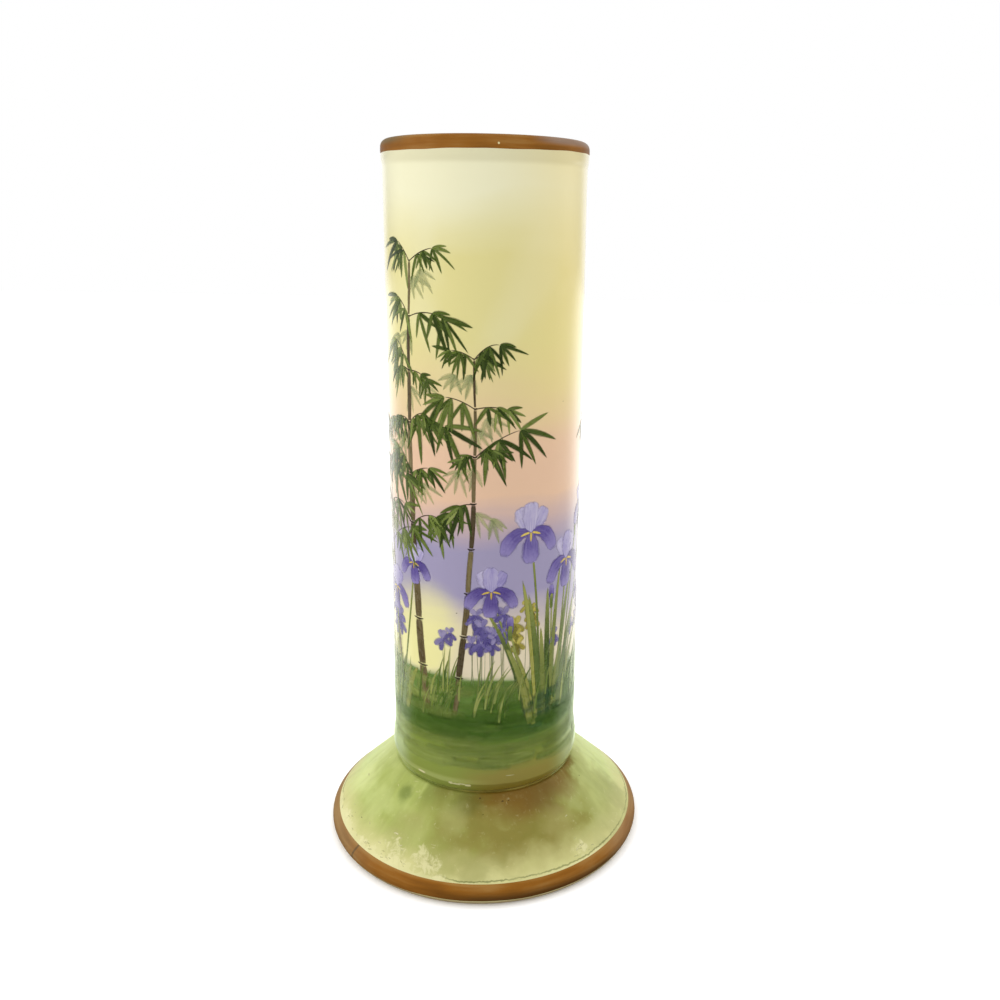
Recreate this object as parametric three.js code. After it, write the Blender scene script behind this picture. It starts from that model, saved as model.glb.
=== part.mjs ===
// A porcelain bud vase: a slim tube luted into the socket of a flared, hollow foot, with a
// fired brown band over the lip and another round the edge of the foot.
// Millimetres, +Z up. The origin is the middle of the ring that the vase stands on.
// Every piece is turned about the same axis, from an outline in (radius, height).

import * as THREE from 'three';

// Whole vase
const HEIGHT = 144.2; // table to the top of the lip
const SEGMENTS = 48; // flats round each turned piece

// Tube
const TUBE_TOP_RADIUS = 19.45; // outside, under the flare of the lip
const TUBE_BASE_RADIUS = 19.9; // outside, above the bead
const TUBE_WALL = 2.4;
const TUBE_FLOOR = 3.2; // thickness of the tube's own floor
const FLOOR_FILLET = 3; // inside, where the wall meets the floor

// Lip
const LIP_PROUD = 0.25; // how far the lip stands out from the tube
const FLARE_HEIGHT = 3; // height over which the tube swells to the lip

// Bead round the base of the tube
const BEAD_PROUD = 0.5; // how far the bead stands out from the tube
const BEAD_TUCK = 0.45; // how far the outline goes in again under the bead
const BEAD_RISE = 3.3; // from the tube's shoulder up to the widest ring of the bead
const BEAD_FADE = 4.8; // from there up to the plain tube

// Joint of tube and foot
const SPIGOT_LENGTH = 3.5; // below the shoulder
const SPIGOT_INSET = 1.55; // how far the spigot steps in from the shoulder
const SLIP_WALL = 0.7; // slip between spigot and socket
const SLIP_FLAT = 0.4; // slip under the shoulder and under the tube
const SLIP_BULGE = 0.1; // how far the slip swells out of the joint

// Foot
const FOOT_RADIUS = 34.45; // widest ring of the foot
const FOOT_WIDEST_HEIGHT = 1.7; // height of that ring
const FOOT_EDGE_ROUND = 2.02; // radius of the rounded edge
const COLLAR_HEIGHT = 15.9; // top of the foot, round the socket
const COLLAR_STEP = 0.45; // how far the collar stands out from the tube's shoulder
const COLLAR_BEND = 2.6; // width over which the slope eases in to the collar
const COLLAR_EASE = 0.35; // how far that bend lies under the line of the slope
const FOOT_WALL = 3.1; // across the slope
const SEAT_WIDTH = 4.6; // ledge in the socket that carries the tube
const SEAT_THICKNESS = 3.2;
const RING_TUCK = 0.93; // how far the ring on the table lies inside the widest ring
const RING_WIDTH = 2.1; // flat face of that ring
const RING_INNER_HEIGHT = 1.6; // its upright inner side

// Bands
const BAND_THICKNESS = 0.3;
const RIM_BAND_DEPTH = 2.55; // from the top of the lip down the outside
const RIM_BAND_INSIDE = 2.1; // from the top of the lip down the inside
const FOOT_BAND_TOP = 1.55; // how far the band reaches in from the widest ring, on the slope
const FOOT_BAND_DROP = 0.7; // how far it reaches down from the widest ring

// Steps along the curves of an outline
const CURVE_STEPS = 6;
const LIP_STEPS = 10;
const EDGE_STEPS = 4;

const point = (radius, height) => new THREE.Vector2(radius, height);

// Lip: a full round as thick as the flared wall
const boreTopRadius = TUBE_TOP_RADIUS - TUBE_WALL;
const boreBaseRadius = TUBE_BASE_RADIUS - TUBE_WALL;
const lipRadius = TUBE_TOP_RADIUS + LIP_PROUD;
const lipRound = (lipRadius - boreTopRadius) / 2;
const lipCentre = point(lipRadius - lipRound, HEIGHT - lipRound);
const rimBandBottom = HEIGHT - RIM_BAND_DEPTH;
const rimBandInsideBottom = HEIGHT - RIM_BAND_INSIDE;

// Joint: the slip keeps the tube clear of the foot at every face
const shoulderRadius = TUBE_BASE_RADIUS - BEAD_TUCK;
const shoulderHeight = COLLAR_HEIGHT + SLIP_FLAT;
const spigotRadius = shoulderRadius - SPIGOT_INSET;
const spigotBottom = shoulderHeight - SPIGOT_LENGTH;
const floorTop = spigotBottom + TUBE_FLOOR;
const socketRadius = spigotRadius + SLIP_WALL;
const seatHeight = spigotBottom - SLIP_FLAT;
const seatInnerRadius = socketRadius - SEAT_WIDTH;
const ceilingHeight = seatHeight - SEAT_THICKNESS;

// Foot: a straight slope from the collar, tangent to the rounded edge
const collarRadius = shoulderRadius + COLLAR_STEP;
const edgeCentre = point(FOOT_RADIUS - FOOT_EDGE_ROUND, FOOT_WIDEST_HEIGHT);
const slopeRun = point(edgeCentre.x - collarRadius, COLLAR_HEIGHT + COLLAR_EASE - edgeCentre.y);
const slopeAngle = slopeRun.angle() - Math.asin(FOOT_EDGE_ROUND / slopeRun.length());
const slopeOutward = point(Math.sin(slopeAngle), Math.cos(slopeAngle));
const ringOuterRadius = FOOT_RADIUS - RING_TUCK;
const ringInnerRadius = ringOuterRadius - RING_WIDTH;

// Points of an arc about a centre, both ends included, with angles from the outward radius
function arc(centre, radius, fromAngle, toAngle, steps) {
	const points = [];
	for (let step = 0; step <= steps; step++) {
		const angle = fromAngle + (toAngle - fromAngle) * step / steps;
		points.push(point(centre.x + radius * Math.cos(angle), centre.y + radius * Math.sin(angle)));
	}
	return points;
}

// The point where the slope, at a depth under its surface, has a given radius
function slopeAtRadius(radius, depth) {
	const tangent = slopeOutward.clone().multiplyScalar(FOOT_EDGE_ROUND - depth).add(edgeCentre);
	return point(radius, tangent.y + (tangent.x - radius) * Math.tan(slopeAngle));
}

// The point where the slope, at a depth under its surface, has a given height
function slopeAtHeight(height, depth) {
	const tangent = slopeOutward.clone().multiplyScalar(FOOT_EDGE_ROUND - depth).add(edgeCentre);
	return point(tangent.x + (tangent.y - height) / Math.tan(slopeAngle), height);
}

// The lip from its outside, over the top and down inside, at a depth under its surface
function lipOutline(depth) {
	return [
		point(lipRadius - depth, rimBandBottom),
		...arc(lipCentre, lipRound - depth, 0, Math.PI, LIP_STEPS),
		point(boreTopRadius + depth, rimBandInsideBottom),
	];
}

// The banded edge of the foot from its underside up to the slope, at a depth under its surface
function edgeOutline(depth) {
	const radius = FOOT_EDGE_ROUND - depth;
	const bottomAngle = -Math.asin(FOOT_BAND_DROP / FOOT_EDGE_ROUND);
	const topAngle = slopeOutward.angle();
	const top = slopeAtRadius(FOOT_RADIUS - FOOT_BAND_TOP, 0);
	return [
		...arc(edgeCentre, radius, bottomAngle, 0, EDGE_STEPS),
		...arc(edgeCentre, radius, 0, topAngle, EDGE_STEPS).slice(1),
		top.sub(slopeOutward.clone().multiplyScalar(depth)),
	];
}

function closed(outline) {
	return [...outline, outline[0].clone()];
}

// A piece turned about the vase's axis
function turned(name, outline, color, roughness) {
	const geometry = new THREE.LatheGeometry(outline, SEGMENTS);
	geometry.rotateX(Math.PI / 2);
	const mesh = new THREE.Mesh(geometry, new THREE.MeshStandardMaterial({ color, roughness }));
	mesh.name = name;
	return mesh;
}

// The tube: spigot, shoulder, bead, long taper, flare, lip cut back for the band, bore and floor
function vaseTube() {
	const beadRadius = TUBE_BASE_RADIUS + BEAD_PROUD;
	const beadHeight = shoulderHeight + BEAD_RISE;
	const beadTop = beadHeight + BEAD_FADE;
	const underBead = new THREE.QuadraticBezierCurve(
		point(shoulderRadius, shoulderHeight),
		point(beadRadius, shoulderHeight + BEAD_RISE / 4),
		point(beadRadius, beadHeight),
	);
	const overBead = new THREE.CubicBezierCurve(
		point(beadRadius, beadHeight),
		point(beadRadius, beadHeight + BEAD_FADE / 2),
		point(TUBE_BASE_RADIUS, beadTop - BEAD_FADE / 2),
		point(TUBE_BASE_RADIUS, beadTop),
	);
	const flareBottom = rimBandBottom - FLARE_HEIGHT;
	const flare = new THREE.CubicBezierCurve(
		point(TUBE_TOP_RADIUS, flareBottom),
		point(TUBE_TOP_RADIUS, flareBottom + FLARE_HEIGHT / 2),
		point(lipRadius, rimBandBottom - FLARE_HEIGHT / 2),
		point(lipRadius, rimBandBottom),
	);
	const filletCentre = point(boreBaseRadius - FLOOR_FILLET, floorTop + FLOOR_FILLET);
	return turned('vase_tube', [
		point(0, spigotBottom),
		point(spigotRadius, spigotBottom),
		point(spigotRadius, shoulderHeight),
		...underBead.getPoints(CURVE_STEPS),
		...overBead.getPoints(CURVE_STEPS).slice(1),
		...flare.getPoints(CURVE_STEPS),
		...lipOutline(BAND_THICKNESS),
		point(boreTopRadius, rimBandInsideBottom),
		...arc(filletCentre, FLOOR_FILLET, 0, -Math.PI / 2, CURVE_STEPS),
		point(0, floorTop),
	], 0xdcd29e, 0.22);
}

// The slip that lutes the tube into the foot: under the tube, round the spigot and under the
// shoulder, where it shows as the line of the joint
function slipJoint() {
	return turned('slip_joint', closed([
		point(seatInnerRadius, seatHeight),
		point(socketRadius, seatHeight),
		point(socketRadius, COLLAR_HEIGHT),
		point(shoulderRadius, COLLAR_HEIGHT),
		point(shoulderRadius + SLIP_BULGE, COLLAR_HEIGHT + SLIP_FLAT / 2),
		point(shoulderRadius, shoulderHeight),
		point(spigotRadius, shoulderHeight),
		point(spigotRadius, spigotBottom),
		point(seatInnerRadius, spigotBottom),
	]), 0x6a5e2c, 0.4);
}

// The foot: hollow underside, ring on the table, edge cut back for the band, slope, collar and
// socket
function saucerFoot() {
	const hollow = new THREE.QuadraticBezierCurve(
		point(socketRadius, ceilingHeight),
		slopeAtHeight(ceilingHeight, FOOT_WALL),
		slopeAtHeight(RING_INNER_HEIGHT, FOOT_WALL),
	);
	const ringHeight = FOOT_WIDEST_HEIGHT - FOOT_BAND_DROP;
	const ringTopRadius = edgeCentre.x + Math.sqrt(FOOT_EDGE_ROUND ** 2 - FOOT_BAND_DROP ** 2);
	const ringSide = new THREE.QuadraticBezierCurve(
		point(ringOuterRadius, 0),
		point((ringOuterRadius + 2 * ringTopRadius) / 3, ringHeight / 2),
		point(ringTopRadius, ringHeight),
	);
	const slope = new THREE.QuadraticBezierCurve(
		slopeAtRadius(FOOT_RADIUS - FOOT_BAND_TOP, 0),
		slopeAtRadius(collarRadius + COLLAR_BEND, 0),
		point(collarRadius, COLLAR_HEIGHT),
	);
	return turned('saucer_foot', closed([
		point(seatInnerRadius, ceilingHeight),
		...hollow.getPoints(CURVE_STEPS),
		point(ringInnerRadius, 0),
		...ringSide.getPoints(EDGE_STEPS),
		...edgeOutline(BAND_THICKNESS),
		...slope.getPoints(CURVE_STEPS),
		point(socketRadius, COLLAR_HEIGHT),
		point(socketRadius, seatHeight),
		point(seatInnerRadius, seatHeight),
	]), 0x9ba365, 0.25);
}

// A band lies in the recess cut for it, flush with the porcelain on both sides
function rimBand() {
	const under = lipOutline(BAND_THICKNESS).reverse();
	return turned('rim_band', closed([...lipOutline(0), ...under]), 0x8a5d22, 0.35);
}

function footBand() {
	const under = edgeOutline(BAND_THICKNESS).reverse();
	return turned('foot_band', closed([...edgeOutline(0), ...under]), 0x8a5d22, 0.35);
}

const vase = new THREE.Group();
vase.add(vaseTube(), slipJoint(), saucerFoot(), rimBand(), footBand());

export default vase;
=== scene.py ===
"""A hand-painted porcelain bud vase: turned porcelain, fired brown bands, and painted bamboo and irises.

Everything is in metres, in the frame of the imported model: +Z up, the vase's axis at X = Y = 0, the front
at -Y. Places on the painted surface are given as (arc, height) in millimetres, with the arc measured round
the tube from the front towards +X.
"""

import math

import bpy
import numpy as np
from bpy.props import FloatProperty, FloatVectorProperty, IntProperty, PointerProperty
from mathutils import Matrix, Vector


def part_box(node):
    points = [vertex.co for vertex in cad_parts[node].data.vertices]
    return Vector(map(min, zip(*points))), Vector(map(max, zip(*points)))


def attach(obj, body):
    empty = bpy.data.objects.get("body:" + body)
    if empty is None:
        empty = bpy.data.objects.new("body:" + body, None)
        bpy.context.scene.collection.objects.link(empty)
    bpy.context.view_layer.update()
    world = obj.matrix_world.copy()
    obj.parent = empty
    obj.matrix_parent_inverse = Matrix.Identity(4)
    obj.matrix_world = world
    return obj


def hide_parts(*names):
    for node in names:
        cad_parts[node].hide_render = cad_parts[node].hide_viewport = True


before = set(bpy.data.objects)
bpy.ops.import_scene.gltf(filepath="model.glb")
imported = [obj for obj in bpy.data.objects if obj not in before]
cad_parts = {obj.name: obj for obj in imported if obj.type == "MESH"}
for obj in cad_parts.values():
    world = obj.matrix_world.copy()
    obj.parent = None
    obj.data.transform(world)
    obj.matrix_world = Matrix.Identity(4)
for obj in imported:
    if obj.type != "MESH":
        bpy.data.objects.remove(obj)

bl_info = {
    "name": "Painted Bud Vase",
    "version": (1, 0, 0),
    "blender": (4, 5, 0),
    "location": "View3D > Sidebar > Bud Vase",
    "description": "Builds a painted porcelain bud vase piece by piece",
    "category": "Object",
}

MM = 0.001
BODY = "root"
TINY = 1e-9
SAME_PLACE = 1e-7
SHARP_ANGLE = math.radians(40)

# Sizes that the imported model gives
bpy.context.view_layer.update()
RIM_LOW, RIM_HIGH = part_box("rim_band")
BAND_LOW, BAND_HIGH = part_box("foot_band")
TUBE_LOW, TUBE_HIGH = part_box("vase_tube")
SLIP_LOW, SLIP_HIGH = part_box("slip_joint")
FOOT_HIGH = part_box("saucer_foot")[1]


def paint(red, green, blue):
    """A colour as it looks on screen, from 0 to 255, as the linear values that shaders take"""
    screen = np.array([red, green, blue]) / 255
    linear = np.where(screen <= 0.04045, screen / 12.92, ((screen + 0.055) / 1.055) ** 2.4)
    return (*(float(channel) for channel in linear), 1.0)


def shade_of(colour_given):
    """A colour for a ramp, from three values as they look on screen or from a colour property"""
    return paint(*colour_given) if len(colour_given) == 3 else tuple(colour_given)


# Sizes, colours and studio settings that a user would change


def length(description, default):
    return FloatProperty(description=description, default=default, unit="LENGTH", precision=5)


def tilt(description, degrees):
    return FloatProperty(description=description, default=math.radians(degrees), subtype="ANGLE")


def brightness(description, default):
    return FloatProperty(description=description, default=default, min=0)


def colour(description, *screen):
    return FloatVectorProperty(
        description=description, default=paint(*screen), size=4, subtype="COLOR", min=0, max=1
    )


class VaseSizes(bpy.types.PropertyGroup):
    """The sizes of the turned porcelain"""

    height: length("From the table to the top of the lip", RIM_HIGH.z)
    lip_radius: length("Widest ring of the lip", RIM_HIGH.x)
    rim_band_bottom: length("Height of the lower edge of the band on the lip", RIM_LOW.z)
    tube_top_radius: length("Outside of the tube under the flare", 0.01945)
    tube_base_radius: length("Outside of the tube above the bead", 0.0199)
    tube_wall: length("Thickness of the tube's wall", 0.0024)
    tube_floor: length("Thickness of the tube's own floor", 0.0032)
    floor_fillet: length("Round between the bore and its floor", 0.003)
    flare_height: length("Height over which the tube swells to the lip", 0.003)
    bead_radius: length("Widest ring of the bead at the base of the tube", TUBE_HIGH.x)
    bead_rise: length("From the shoulder up to the bead's widest ring", 0.0033)
    bead_fade: length("From there up to the plain tube", 0.0048)
    shoulder_radius: length("Outside of the tube where it meets the slip", 0.01945)
    spigot_radius: length("Part of the tube inside the socket", 0.0179)
    socket_radius: length("Inside of the foot's socket", 0.0186)
    collar_radius: length("Top of the foot round the socket", 0.0199)
    collar_bend: length("Width over which the slope eases in to the collar", 0.0026)
    collar_ease: length("How far that bend lies under the line of the slope", 0.00035)
    foot_radius: length("Widest ring of the foot", BAND_HIGH.x)
    foot_widest_height: length("Height of that ring", 0.0017)
    foot_edge_round: length("Radius of the rounded edge", 0.00202)
    foot_wall: length("Thickness across the slope", 0.0031)
    foot_band_reach: length("How far the band reaches in over the slope", 0.00155)
    seat_radius: length("Hole in the foot under the tube", 0.014)
    seat_thickness: length("Porcelain under the tube", 0.0032)
    ring_outer_radius: length("Ring that the vase stands on", 0.03352)
    ring_width: length("Flat face of that ring", 0.0021)
    ring_inner_height: length("Upright inner side of that ring", 0.0016)
    band_cover: length("Thickness of a fired band over the porcelain", 0.00006)
    unevenness: length("Swell of the cast wall", 0.00005)
    columns: IntProperty(description="Faces round each turned piece", default=256, min=24)


class VaseColours(bpy.types.PropertyGroup):
    """The colours of the glaze and the paint"""

    white_glaze: colour("Inside of the tube and underside of the foot", 236, 233, 222)
    bare_clay: colour("Unglazed ring that the vase stands on", 188, 174, 144)
    sky_top: colour("Wash under the rim", 240, 236, 198)
    sky_yellow: colour("Wash over the middle of the tube", 227, 217, 148)
    sky_warm: colour("Warmer wash towards the right", 234, 212, 136)
    sky_peach: colour("Wash above the lilac", 230, 192, 160)
    sky_lilac: colour("Mist behind the flowers", 160, 152, 182)
    sky_milk: colour("Wash behind the grass", 224, 210, 180)
    sky_butter: colour("Yellower wash at the left behind the grass", 238, 232, 158)
    ground_light: colour("Lighter green at the top of the ground", 102, 134, 64)
    ground_dark: colour("Deep green of the ground", 72, 106, 26)
    ground_olive: colour("Ground over the bead", 128, 134, 56)
    ground_teal: colour("Bluer green of the ground at the right", 66, 100, 66)
    ground_fresh: colour("Yellower green at the left over the bead", 132, 148, 64)
    # Partly thinner paint and partly a painted sheen, at the sides of the green and of the joint as seen from
    # the front
    side_sheen_green: colour("Thin pale green of the ground at the sides", 158, 172, 108)
    rim_shade: colour("Darkening of the wash in the flare under the lip", 223, 220, 210)
    # Browner paint on the bead's crest that is partly a painted highlight
    bead_paint_and_highlight: colour("Thin paint on the fullest part of the bead", 142, 130, 58)
    # A painted highlight along the bead at the left
    bead_highlight_line: colour("Paler line along the bead at the left", 160, 172, 96)
    # Painted shade under the bead, where paint also pooled; on the slip, random patches of the same colour
    joint_shade: colour("Paint that pooled under the bead", 112, 98, 30)
    # The same painted shade at the left, greener; on the slip, its colour at the left
    joint_green: colour("The same at the left, where it is thin", 114, 125, 50)
    foot_green: colour("Paint of the slope", 168, 179, 92)
    foot_olive: colour("Browner paint of the slope in front", 140, 130, 58)
    foot_far: colour("Thinner paint at the sides and behind", 198, 208, 132)
    foot_right: colour("Duller green at the right of the foot", 168, 168, 104)
    foot_edge: colour("Paint of the slope near its band", 206, 202, 136)
    # These three are the painted shade round the joint where the foot meets the tube: its olive, darker olive
    # in front, and reddish paint to the right of the front
    foot_joint_shade: colour("Paint round the joint", 144, 154, 74)
    foot_front_joint_shade: colour("Darker olive round the joint in front", 124, 118, 44)
    foot_rust: colour("Reddish paint round the joint in front", 122, 94, 24)
    foot_streaks: colour("Pale streaks down the slope", 212, 216, 138)
    foot_shadows: colour("Dark streaks down the slope", 114, 118, 42)
    foot_flecks: colour("Fine pale dots all over the slope", 222, 220, 156)
    # Painted shade on the glaze just above the ring under the foot
    foot_ring_shade: colour("Glaze by the ring under the foot", 170, 152, 112)
    band_brown: colour("Middle of the fired bands", 144, 91, 20)
    band_dark: colour("Brush overlaps in the bands", 120, 74, 12)
    # Also where a painted highlight lifts the tone on the band's upper side
    band_light: colour("Thin places in the bands", 164, 122, 62)
    # These four are painted reflections: on the lip at the right and the left, on the foot's edge at the
    # right and the left
    rim_right_reflection: colour("Milky enamel on the lip at the right", 160, 148, 138)
    rim_left_reflection: colour("Greenish grey of the lip at the left", 104, 110, 82)
    edge_right_reflection: colour("Milky enamel on the foot's edge at the right", 160, 144, 114)
    edge_left_reflection: colour("The same at the left", 162, 146, 108)
    # Painted shade on the lower part of the foot's edge, where it turns under
    band_underside_shade: colour("Thick enamel on the underside of the foot's edge", 66, 40, 4)
    band_seam: colour("Line where the brush came round to its start", 62, 38, 12)
    slip: colour("Line of the joint", 150, 132, 56)
    cream: colour("Worn places and the line over the foot's band", 228, 222, 168)
    dark_line: colour("Thin line between the foot's paint and the cream", 84, 94, 38)
    speck: colour("Iron specks in the glaze", 50, 36, 18)


class StudioSettings(bpy.types.PropertyGroup):
    """The camera and the light"""

    focal_length: FloatProperty(description="Lens", default=34.054, unit="CAMERA")
    camera_place: FloatVectorProperty(
        description="Where the camera stands", default=(0.0102, -0.19087, 0.12965), unit="LENGTH"
    )
    camera_fall: tilt("How far the view looks down", 16.328)
    camera_roll: tilt("Turn about the line of sight", 0.913)
    camera_shift: FloatProperty(
        description="How far off the lens's axis the picture is cut", default=-0.0339
    )
    floor_size: length("Side of the pale floor", 3.0)
    world_light: brightness("Plain light from all round", 0.86)
    left_light: brightness("Soft lamp at the left, in watts", 0.88)
    right_light: brightness("Soft lamp at the right, in watts", 0.56)
    top_light: brightness("Soft lamp above, in watts", 0.35)


# Outlines in (radius, height), in metres


# How far under the lip the bore runs straight, and how far the side of the foot's ring bends in and up
BORE_START = 2.1 * MM
RING_SIDE_BEND = (0.2 * MM, 0.5 * MM)


def bezier(points, steps):
    """Points along a Bezier curve: its control points weighted by the Bernstein polynomials"""
    points = np.array(points, float)
    degree = len(points) - 1
    power = np.arange(degree + 1)
    share = np.linspace(0, 1, steps + 1)[:, None]
    ways = np.array([math.comb(degree, k) for k in power])
    return (ways * share**power * (1 - share) ** (degree - power)) @ points


def arc(centre, radius, start, end, steps):
    """Points on a circle's arc, with angles from the outward radius"""
    angle = np.linspace(start, end, steps + 1)
    return np.column_stack([centre[0] + radius * np.cos(angle), centre[1] + radius * np.sin(angle)])


def line(start, end, steps):
    return np.linspace(start, end, steps + 1)


def joined(*stretches):
    """One outline from stretches that meet end to end, without the points that two of them share"""
    points = np.concatenate([np.atleast_2d(stretch) for stretch in stretches])
    apart = np.linalg.norm(np.diff(points, axis=0), axis=1) > SAME_PLACE
    return points[np.concatenate([[True], apart])]


def way_along(outline):
    """How far along an outline each of its points lies"""
    steps = np.linalg.norm(np.diff(outline, axis=0), axis=1)
    return np.concatenate([[0], np.cumsum(steps)])


class FootSlope:
    """The straight slope of the foot: it starts over the collar and is tangent to the rounded edge"""

    def __init__(self, sizes):
        self.round = sizes.foot_edge_round
        self.centre = np.array([sizes.foot_radius - self.round, sizes.foot_widest_height])
        start = np.array([sizes.collar_radius, FOOT_HIGH.z + sizes.collar_ease])
        run = (self.centre - start) * (1, -1)
        self.angle = math.atan2(run[1], run[0]) - math.asin(self.round / np.hypot(*run))
        self.outward = np.array([math.sin(self.angle), math.cos(self.angle)])

    def at_radius(self, radius, depth=0.0):
        tangent = self.centre + self.outward * (self.round - depth)
        return np.array([radius, tangent[1] + (tangent[0] - radius) * math.tan(self.angle)])

    def at_height(self, height, depth=0.0):
        tangent = self.centre + self.outward * (self.round - depth)
        return np.array([tangent[0] + (tangent[1] - height) / math.tan(self.angle), height])


def tube_side(sizes):
    """The outside of the tube: shoulder, bead, long taper and flare up to the lower edge of the rim band"""
    shoulder, bead = sizes.shoulder_radius, sizes.bead_radius
    low = SLIP_HIGH.z
    widest = low + sizes.bead_rise
    plain = widest + sizes.bead_fade
    base, top, lip = sizes.tube_base_radius, sizes.tube_top_radius, sizes.lip_radius
    half_fade, half_flare = sizes.bead_fade / 2, sizes.flare_height / 2
    edge = sizes.rim_band_bottom
    return joined(
        bezier([(shoulder, low), (bead, low + sizes.bead_rise / 4), (bead, widest)], 14),
        bezier(
            [(bead, widest), (bead, widest + half_fade), (base, plain - half_fade), (base, plain)],
            14,
        ),
        line((base, plain), (top, edge - sizes.flare_height), 70),
        bezier(
            [(top, edge - 2 * half_flare), (top, edge - half_flare), (lip, edge - half_flare), (lip, edge)],
            14,
        ),
    )


def lip_round(sizes, depth=0.0):
    """The full round of the lip from its outside over the top to the bore, at a depth under its surface"""
    bore = sizes.tube_top_radius - sizes.tube_wall
    radius = (sizes.lip_radius - bore) / 2
    centre = (sizes.lip_radius - radius, sizes.height - radius)
    return arc(centre, radius - depth, 0, math.pi, 28)


def tube_outline(sizes):
    """The tube from the middle of its base up the outside, over the lip and down the bore to its floor"""
    spigot, low = sizes.spigot_radius, TUBE_LOW.z
    bore_top = sizes.tube_top_radius - sizes.tube_wall
    bore_base = sizes.tube_base_radius - sizes.tube_wall
    floor, fillet = low + sizes.tube_floor, sizes.floor_fillet
    return joined(
        (0, low),
        line((spigot * 0.5, low), (spigot, low), 3),
        (spigot, SLIP_HIGH.z),
        tube_side(sizes),
        lip_round(sizes, sizes.band_cover),
        line((bore_top, sizes.height - BORE_START), (bore_base, floor + fillet), 40),
        arc((bore_base - fillet, floor + fillet), fillet, 0, -math.pi / 2, 10),
        line(((bore_base - fillet) * 0.5, floor), (0, floor), 1),
    )


def foot_edge(sizes, slope, depth=0.0):
    """The foot's rounded edge from its lower side up to the slope, at a depth under its surface"""
    drop = sizes.foot_widest_height - BAND_LOW.z
    low = -math.asin(drop / sizes.foot_edge_round)
    high = math.pi / 2 - slope.angle
    top = slope.at_radius(sizes.foot_radius - sizes.foot_band_reach, depth)
    return joined(
        arc(slope.centre, slope.round - depth, low, 0, 8),
        arc(slope.centre, slope.round - depth, 0, high, 12),
        top,
    )


def foot_top(sizes, slope):
    """The top of the foot from the band's upper edge up the slope to the collar"""
    start = slope.at_radius(sizes.foot_radius - sizes.foot_band_reach)
    bend = slope.at_radius(sizes.collar_radius + sizes.collar_bend)
    return bezier([start, bend, (sizes.collar_radius, FOOT_HIGH.z)], 44)


def foot_outline(sizes, slope):
    """The foot, closed on itself: hollow underside, ring on the table, edge, slope, collar and socket"""
    seat, socket = sizes.seat_radius, sizes.socket_radius
    seat_height = SLIP_LOW.z
    ceiling = seat_height - sizes.seat_thickness
    ring_inner = sizes.ring_outer_radius - sizes.ring_width
    hollow = bezier(
        [
            (socket, ceiling),
            slope.at_height(ceiling, sizes.foot_wall),
            slope.at_height(sizes.ring_inner_height, sizes.foot_wall),
        ],
        20,
    )
    edge = foot_edge(sizes, slope, sizes.band_cover)
    bend_in, bend_up = RING_SIDE_BEND
    side = bezier([(sizes.ring_outer_radius, 0), (edge[0][0] - bend_in, bend_up), edge[0]], 6)
    return joined(
        (seat, ceiling),
        hollow,
        line((ring_inner, 0), (sizes.ring_outer_radius, 0), 2),
        side,
        edge,
        foot_top(sizes, slope),
        (socket, FOOT_HIGH.z),
        (socket, seat_height),
        (seat, seat_height),
    )


def slip_outline(sizes):
    """The slip between tube and foot, closed on itself, with its line swelling out of the joint"""
    seat, socket = sizes.seat_radius, sizes.socket_radius
    spigot, shoulder = sizes.spigot_radius, sizes.shoulder_radius
    low, collar, top, base = SLIP_LOW.z, FOOT_HIGH.z, SLIP_HIGH.z, TUBE_LOW.z
    fullest = shoulder + 1.2 * (SLIP_HIGH.x - shoulder)
    swell = bezier([(shoulder, collar), (fullest, (collar + top) / 2), (shoulder, top)], 8)
    return joined(
        (seat, low), (socket, low), (socket, collar), swell, (spigot, top), (spigot, base), (seat, base)
    )


# Waves as rows of their size, how many go round, their turn per metre of height and their start in radians
CAST_WAVES = ((1.0, 2, 31, 0.4), (0.6, 3, -57, 1.3), (0.5, 5, 93, 2.1))
LOW_EDGE_WAVES = ((1.0, 3, 0, 1.0), (0.7, 7, 0, 2.5), (0.5, 16, 0, 0.0))
HIGH_EDGE_WAVES = ((1.0, 2, 0, 0.0), (0.8, 9, 0, 0.7), (0.5, 21, 0, 0.0))

# The cast wall is true up to the first height, and its waves are full from the second over that
TRUE_HEIGHT, FADE_HEIGHT = 4 * MM, 8 * MM


def waves(rows, angle, height=0.0):
    return sum(size * np.sin(count * angle + turn * height + start) for size, count, turn, start in rows)


def unevenness(sizes, angle, height):
    """The slow swell of the cast wall: low waves round and along the vase that fade out at the foot's edge"""
    fade = np.clip((height - TRUE_HEIGHT) / FADE_HEIGHT, 0, 1)
    return sizes.unevenness * waves(CAST_WAVES, angle, height) * fade


# Meshes


def new_piece(name, vertices, faces, corner_uv, material, values=None):
    """An object at the origin from vertices, faces, one UV per corner and values per vertex"""
    mesh = bpy.data.meshes.new(name)
    mesh.from_pydata(vertices.tolist(), [], faces)
    mesh.uv_layers.new(name="UVMap").data.foreach_set("uv", np.asarray(corner_uv, np.float32).ravel())
    for key, per_vertex in (values or {}).items():
        mesh.attributes.new(key, "FLOAT", "POINT").data.foreach_set("value", per_vertex.astype(np.float32))
    mesh.polygons.foreach_set("use_smooth", np.ones(len(mesh.polygons), bool))
    mesh.set_sharp_from_angle(angle=SHARP_ANGLE)
    mesh.materials.append(material)
    mesh.update()
    piece = bpy.data.objects.new(name, mesh)
    bpy.context.scene.collection.objects.link(piece)
    return piece


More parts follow.
